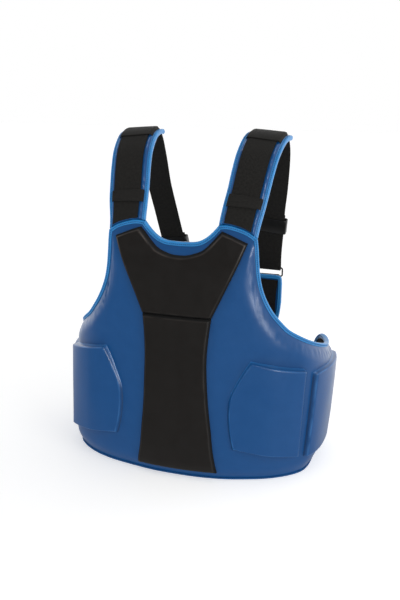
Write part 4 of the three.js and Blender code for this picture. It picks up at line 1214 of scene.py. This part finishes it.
# %% Rings, ring loops and waist strap
RING_X, RING_WIDE, RING_TALL, RING_BAR, RING_ROUND = 92.5, 55, 19, 3, 3.0
LOOP_HALF, LOOP_WALL, LOOP_OFF, LOOP_SLACK = 20, 1.4, 1.3, 0.3
LOOP_DROPS = (10, 14, 19, 25, 32, 40, 52)
ring_top = read_at(strap_length - RING_REACH, FRAME_AT, origin)
ring_base = ring_top[2] + RING_BAR / 2 - RING_TALL
ring_line = rounded_box((RING_WIDE - RING_BAR) / 2, (RING_TALL - RING_BAR) / 2, RING_ROUND)
ring_out = -unit(quarter_turn(np.roll(ring_line, -1, 0) - np.roll(ring_line, 1, 0)))
bar = np.radians(np.arange(0, 360, 36))
ring_rings = np.stack([
    RING_X + ring_line[:, None, 0] + ring_out[:, None, 0] * np.cos(bar) * RING_BAR / 2,
    np.broadcast_to(ring_top[1] + np.sin(bar) * RING_BAR / 2, (len(ring_line), len(bar))),
    ring_base + RING_TALL / 2 + ring_line[:, None, 1] + ring_out[:, None, 1] * np.cos(bar) * RING_BAR / 2,
], -1)
reach = RING_BAR / 2 + LOOP_SLACK + LOOP_WALL / 2
bar_z = ring_base + RING_BAR / 2
hook = [
    (-RING_BAR / 2, reach), (0, reach + 0.15), (RING_BAR / 2, reach - 0.1),
    (reach, RING_BAR / 2 - 0.3), (reach, -RING_BAR),
]
loop_path = [(ring_top[1] + y, bar_z + z) for y, z in hook]
for drop in LOOP_DROPS:
    level = back_face(RING_X - LOOP_HALF, bar_z - drop) + LOOP_OFF + LOOP_WALL / 2
    loop_path.append((float(back_point(RING_X - LOOP_HALF, bar_z - drop, level)[1]), bar_z - drop))
loop_path = catmull(loop_path, 4)


def loop_place(u, y, z):
    return np.stack([RING_X + u, y, z], -1)


loop_rings = band_rings(*loop_path.T, LOOP_HALF, LOOP_WALL, loop_place)
for side, turned in SIDES.items():
    swept_piece(f"ring_{side}_bar", turned(ring_rings), BLACK_PLASTIC, "plastic", f"ring_{side}", closed=True)
    band_piece(f"ring_loop_{side}_tape", f"ring_loop_{side}", turned(loop_rings), LOOP_HALF)

WAIST_RIGHT = [(0, 161.5), (30, 161.2), (60, 160.4), (82, 158), (120, 151.6), (160, 144.6), (186, 139.4)]
WAIST_MIDDLE, WAIST_HALF, WAIST_WALL, WAIST_SEWN = 148, 20, 2, 4


def wing_seam(top, bottom):
    """Where the strap meets a wing's rear edge at its own height, and where it ends inside the edge."""
    (top_s, top_z), (low_s, low_z) = shell_outline[top], shell_outline[bottom]
    edge_s = top_s + (low_s - top_s) * (WAIST_MIDDLE - top_z) / (low_z - top_z)
    inside = edge_s - np.sign(edge_s) * WAIST_SEWN
    return [tuple(body_point(s, WAIST_MIDDLE, 0.0)[:2]) for s in (edge_s, inside)]


waist_left = wing_seam(0, lower_to)[::-1] + [(-x, y) for x, y in WAIST_RIGHT[:0:-1]]
waist_path = catmull(waist_left + WAIST_RIGHT + wing_seam(shell_count - 1, shell_count), 8)
print("waist strap ends", waist_path[0].round(1), waist_path[-1].round(1))


def waist_place(u, x, y):
    return np.stack([x, y, WAIST_MIDDLE + u], -1)


waist_rings = band_rings(*waist_path.T, WAIST_HALF, WAIST_WALL, waist_place)
band_piece("waist_strap_band", "waist_strap", waist_rings, WAIST_HALF)

# %% [markdown]
# ## Stitches
# A row of stitches follows every tape. Hundreds of small equal things along a path are work
# for Geometry Nodes: a line becomes a curve, the curve is cut at the stitch pitch, and each
# point gets one short thread laid along the line. The result is then made a plain mesh.

# %% Stitch rows
STITCH_PITCH, THREAD_RADIUS, STITCH_LENGTH = 3.6, 0.32, 2.7
stitch_tree = bpy.data.node_groups.new("stitch_row", "GeometryNodeTree")
sockets = stitch_tree.interface
sockets.new_socket("Geometry", in_out="INPUT", socket_type="NodeSocketGeometry")
STITCH_INPUTS = {}
for label in ("Pitch", "Thread radius", "Stitch length", "Material"):
    kind = "NodeSocketMaterial" if label == "Material" else "NodeSocketFloat"
    STITCH_INPUTS[label] = sockets.new_socket(label, in_out="INPUT", socket_type=kind).identifier
sockets.new_socket("Geometry", in_out="OUTPUT", socket_type="NodeSocketGeometry")
t_in = stitch_tree.nodes.new("NodeGroupInput")
t_out = stitch_tree.nodes.new("NodeGroupOutput")
curve = add(stitch_tree, "GeometryNodeMeshToCurve", Mesh=t_in.outputs["Geometry"])
steps = add(stitch_tree, "GeometryNodeResampleCurve", {"mode": "LENGTH"},
            Curve=curve.outputs[0], Length=t_in.outputs["Pitch"])
points = add(stitch_tree, "GeometryNodeCurveToPoints", {"mode": "EVALUATED"}, Curve=steps.outputs[0])
thread = add(stitch_tree, "GeometryNodeMeshUVSphere", Segments=6, Rings=5, Radius=1.0)
scale = add(stitch_tree, "ShaderNodeCombineXYZ", X=t_in.outputs["Thread radius"],
            Y=t_in.outputs["Thread radius"], Z=t_in.outputs["Stitch length"])
shaped = add(stitch_tree, "GeometryNodeTransform", Geometry=thread.outputs["Mesh"], Scale=scale.outputs[0])
laid = add(stitch_tree, "GeometryNodeInstanceOnPoints", Points=points.outputs["Points"],
           Instance=shaped.outputs[0], Rotation=points.outputs["Rotation"])
real = add(stitch_tree, "GeometryNodeRealizeInstances", Geometry=laid.outputs[0])
painted = add(stitch_tree, "GeometryNodeSetMaterial", Geometry=real.outputs[0],
              Material=t_in.outputs["Material"])
stitch_tree.links.new(painted.outputs[0], t_out.inputs[0])


def stitch_piece(name, lines):
    verts, edges, start = [], [], 0
    for line in lines:
        verts.append((line + SHIFT) * MM)
        edges += [(start + k, start + k + 1) for k in range(len(line) - 1)]
        start += len(line)
    mesh = bpy.data.meshes.new(f"{name}_lines")
    mesh.from_pydata(np.vstack(verts).tolist(), edges, [])
    source = bpy.data.objects.new(f"{name}_lines", mesh)
    bpy.context.scene.collection.objects.link(source)
    rows = source.modifiers.new("stitches", "NODES")
    rows.node_group = stitch_tree
    rows[STITCH_INPUTS["Pitch"]] = STITCH_PITCH * MM
    rows[STITCH_INPUTS["Thread radius"]] = THREAD_RADIUS * MM
    rows[STITCH_INPUTS["Stitch length"]] = STITCH_LENGTH / 2 * MM
    rows[STITCH_INPUTS["Material"]] = THREAD
    graph = bpy.context.evaluated_depsgraph_get()
    made = bpy.data.meshes.new_from_object(source.evaluated_get(graph))
    bpy.data.objects.remove(source)
    made.polygons.foreach_set("use_smooth", [True] * len(made.polygons))
    piece = bpy.data.objects.new(name, made)
    bpy.context.scene.collection.objects.link(piece)
    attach(piece, "root")
    print(name, len(made.polygons), "faces")


for group, lines in stitch_lines.items():
    stitch_piece(f"{group}_stitches", lines)

# %% [markdown]
# ## Floor, light and camera
# The photograph is a plain white studio: a pale floor without an edge, soft light from above
# on the right, and a bright surround that shows as pale rims on the leather. The camera
# stands a little to the right of the chest and above it.

# %% Stage and light
FLOOR_SIZE, FLOOR_DROP = 14, 0.0005
FLOOR_SEEN, FLOOR_MIRRORED = (0.8, 0.8, 0.8, 1), (0.16, 0.16, 0.16, 1)
scene = bpy.context.scene
scene.view_settings.view_transform = "Standard"
bpy.ops.mesh.primitive_plane_add(size=FLOOR_SIZE, location=(0, 0, -FLOOR_DROP))
floor = bpy.context.object
floor.name = "studio_floor"
floor_material, floor_tree, floor_shader = start_material("pale_floor", 0.7, 0.1)
floor_shader.inputs["Emission Color"].default_value = (1, 1, 1, 1)
mirrored = floor_tree.nodes.new("ShaderNodeLightPath").outputs["Is Glossy Ray"]
floor_where = floor_tree.nodes.new("ShaderNodeTexCoord").outputs["Object"]
floor_place = add(floor_tree, "ShaderNodeSeparateXYZ", Vector=floor_where)
# Painted light: the floor glows, a little brighter on the right where the key light falls. In reflections it
# glows only towards the back and takes a darker colour.
sideways_glow = map_range(floor_tree, floor_place.outputs[0], (-0.35, 0.4), (0.36, 0.52), smooth=True)
rear_glow = map_range(floor_tree, floor_place.outputs[1], (-0.3, 0.7), (0.0, 1.3))
glow = mix_value(floor_tree, mirrored, sideways_glow, rear_glow)
shade = mix_colour(floor_tree, mirrored, FLOOR_SEEN, FLOOR_MIRRORED)
floor_tree.links.new(glow, floor_shader.inputs["Emission Strength"])
floor_tree.links.new(shade, floor_shader.inputs["Base Color"])
floor.data.materials.append(floor_material)

world = bpy.data.worlds.new("studio")
scene.world = world
world.use_nodes = True
sky = world.node_tree
sky.nodes.clear()
direction = sky.nodes.new("ShaderNodeTexCoord").outputs["Generated"]
parts = add(sky, "ShaderNodeSeparateXYZ", Vector=direction)
ray = sky.nodes.new("ShaderNodeLightPath")
turned_y = math_node(sky, "MULTIPLY_ADD", parts.outputs[0], -0.16, parts.outputs[1])
round_back = map_range(sky, turned_y, (-0.6, 0.4), (0.09, 1.6), smooth=True)
low_sky = map_range(sky, parts.outputs[2], (0.2, 0.6), (1.0, 0.42), smooth=True)
soft_sky = map_range(sky, parts.outputs[2], (0.0, 0.9), (1.24, 0.68))
mirrored_sky = math_node(sky, "MULTIPLY", round_back, low_sky)
glossy = mix_value(sky, ray.outputs["Is Glossy Ray"], soft_sky, mirrored_sky)
seen = mix_value(sky, ray.outputs["Is Camera Ray"], glossy, 1.0)
light = add(sky, "ShaderNodeBackground", Color=(1, 1, 1, 1), Strength=seen)
end = sky.nodes.new("ShaderNodeOutputWorld")
sky.links.new(light.outputs[0], end.inputs["Surface"])


def soft_box(name, place, aim, size, power):
    lamp = bpy.data.lights.new(name, "AREA")
    lamp.shape = "RECTANGLE"
    lamp.size, lamp.size_y = size
    lamp.energy = power
    box = bpy.data.objects.new(name, lamp)
    scene.collection.objects.link(box)
    box.location = place
    box.rotation_euler = (Vector(aim) - Vector(place)).to_track_quat("-Z", "Y").to_euler()
    return box


soft_box("key_box", (1.9, -1.2, 1.5), (0, 0, 0.3), (1.0, 1.0), 7.4).visible_glossy = False
soft_box("top_box", (0.3, 0.3, 2.3), (0, 0, 0.3), (1.0, 0.8), 10).visible_diffuse = False
soft_box("strip_box", (1.72, -1.42, 1.0), (0.1, 0, 0.35), (0.7, 1.2), 38).visible_diffuse = False

# %% Camera
CAMERA_PLACE, CAMERA_DOWN, CAMERA_TURN = (440, -1334, 700), 16.4, 18.1
SENSOR, FOCAL_PIXELS, PICTURE_PIXELS = 36, 820, 600
camera = bpy.data.cameras.new("photo_camera")
camera.sensor_width = SENSOR
camera.lens = FOCAL_PIXELS / PICTURE_PIXELS * SENSOR
eye = bpy.data.objects.new("photo_camera", camera)
scene.collection.objects.link(eye)
eye.location = (np.array(CAMERA_PLACE) + SHIFT) * MM
eye.rotation_euler = (math.radians(90 - CAMERA_DOWN), 0, math.radians(CAMERA_TURN))
scene.camera = eye
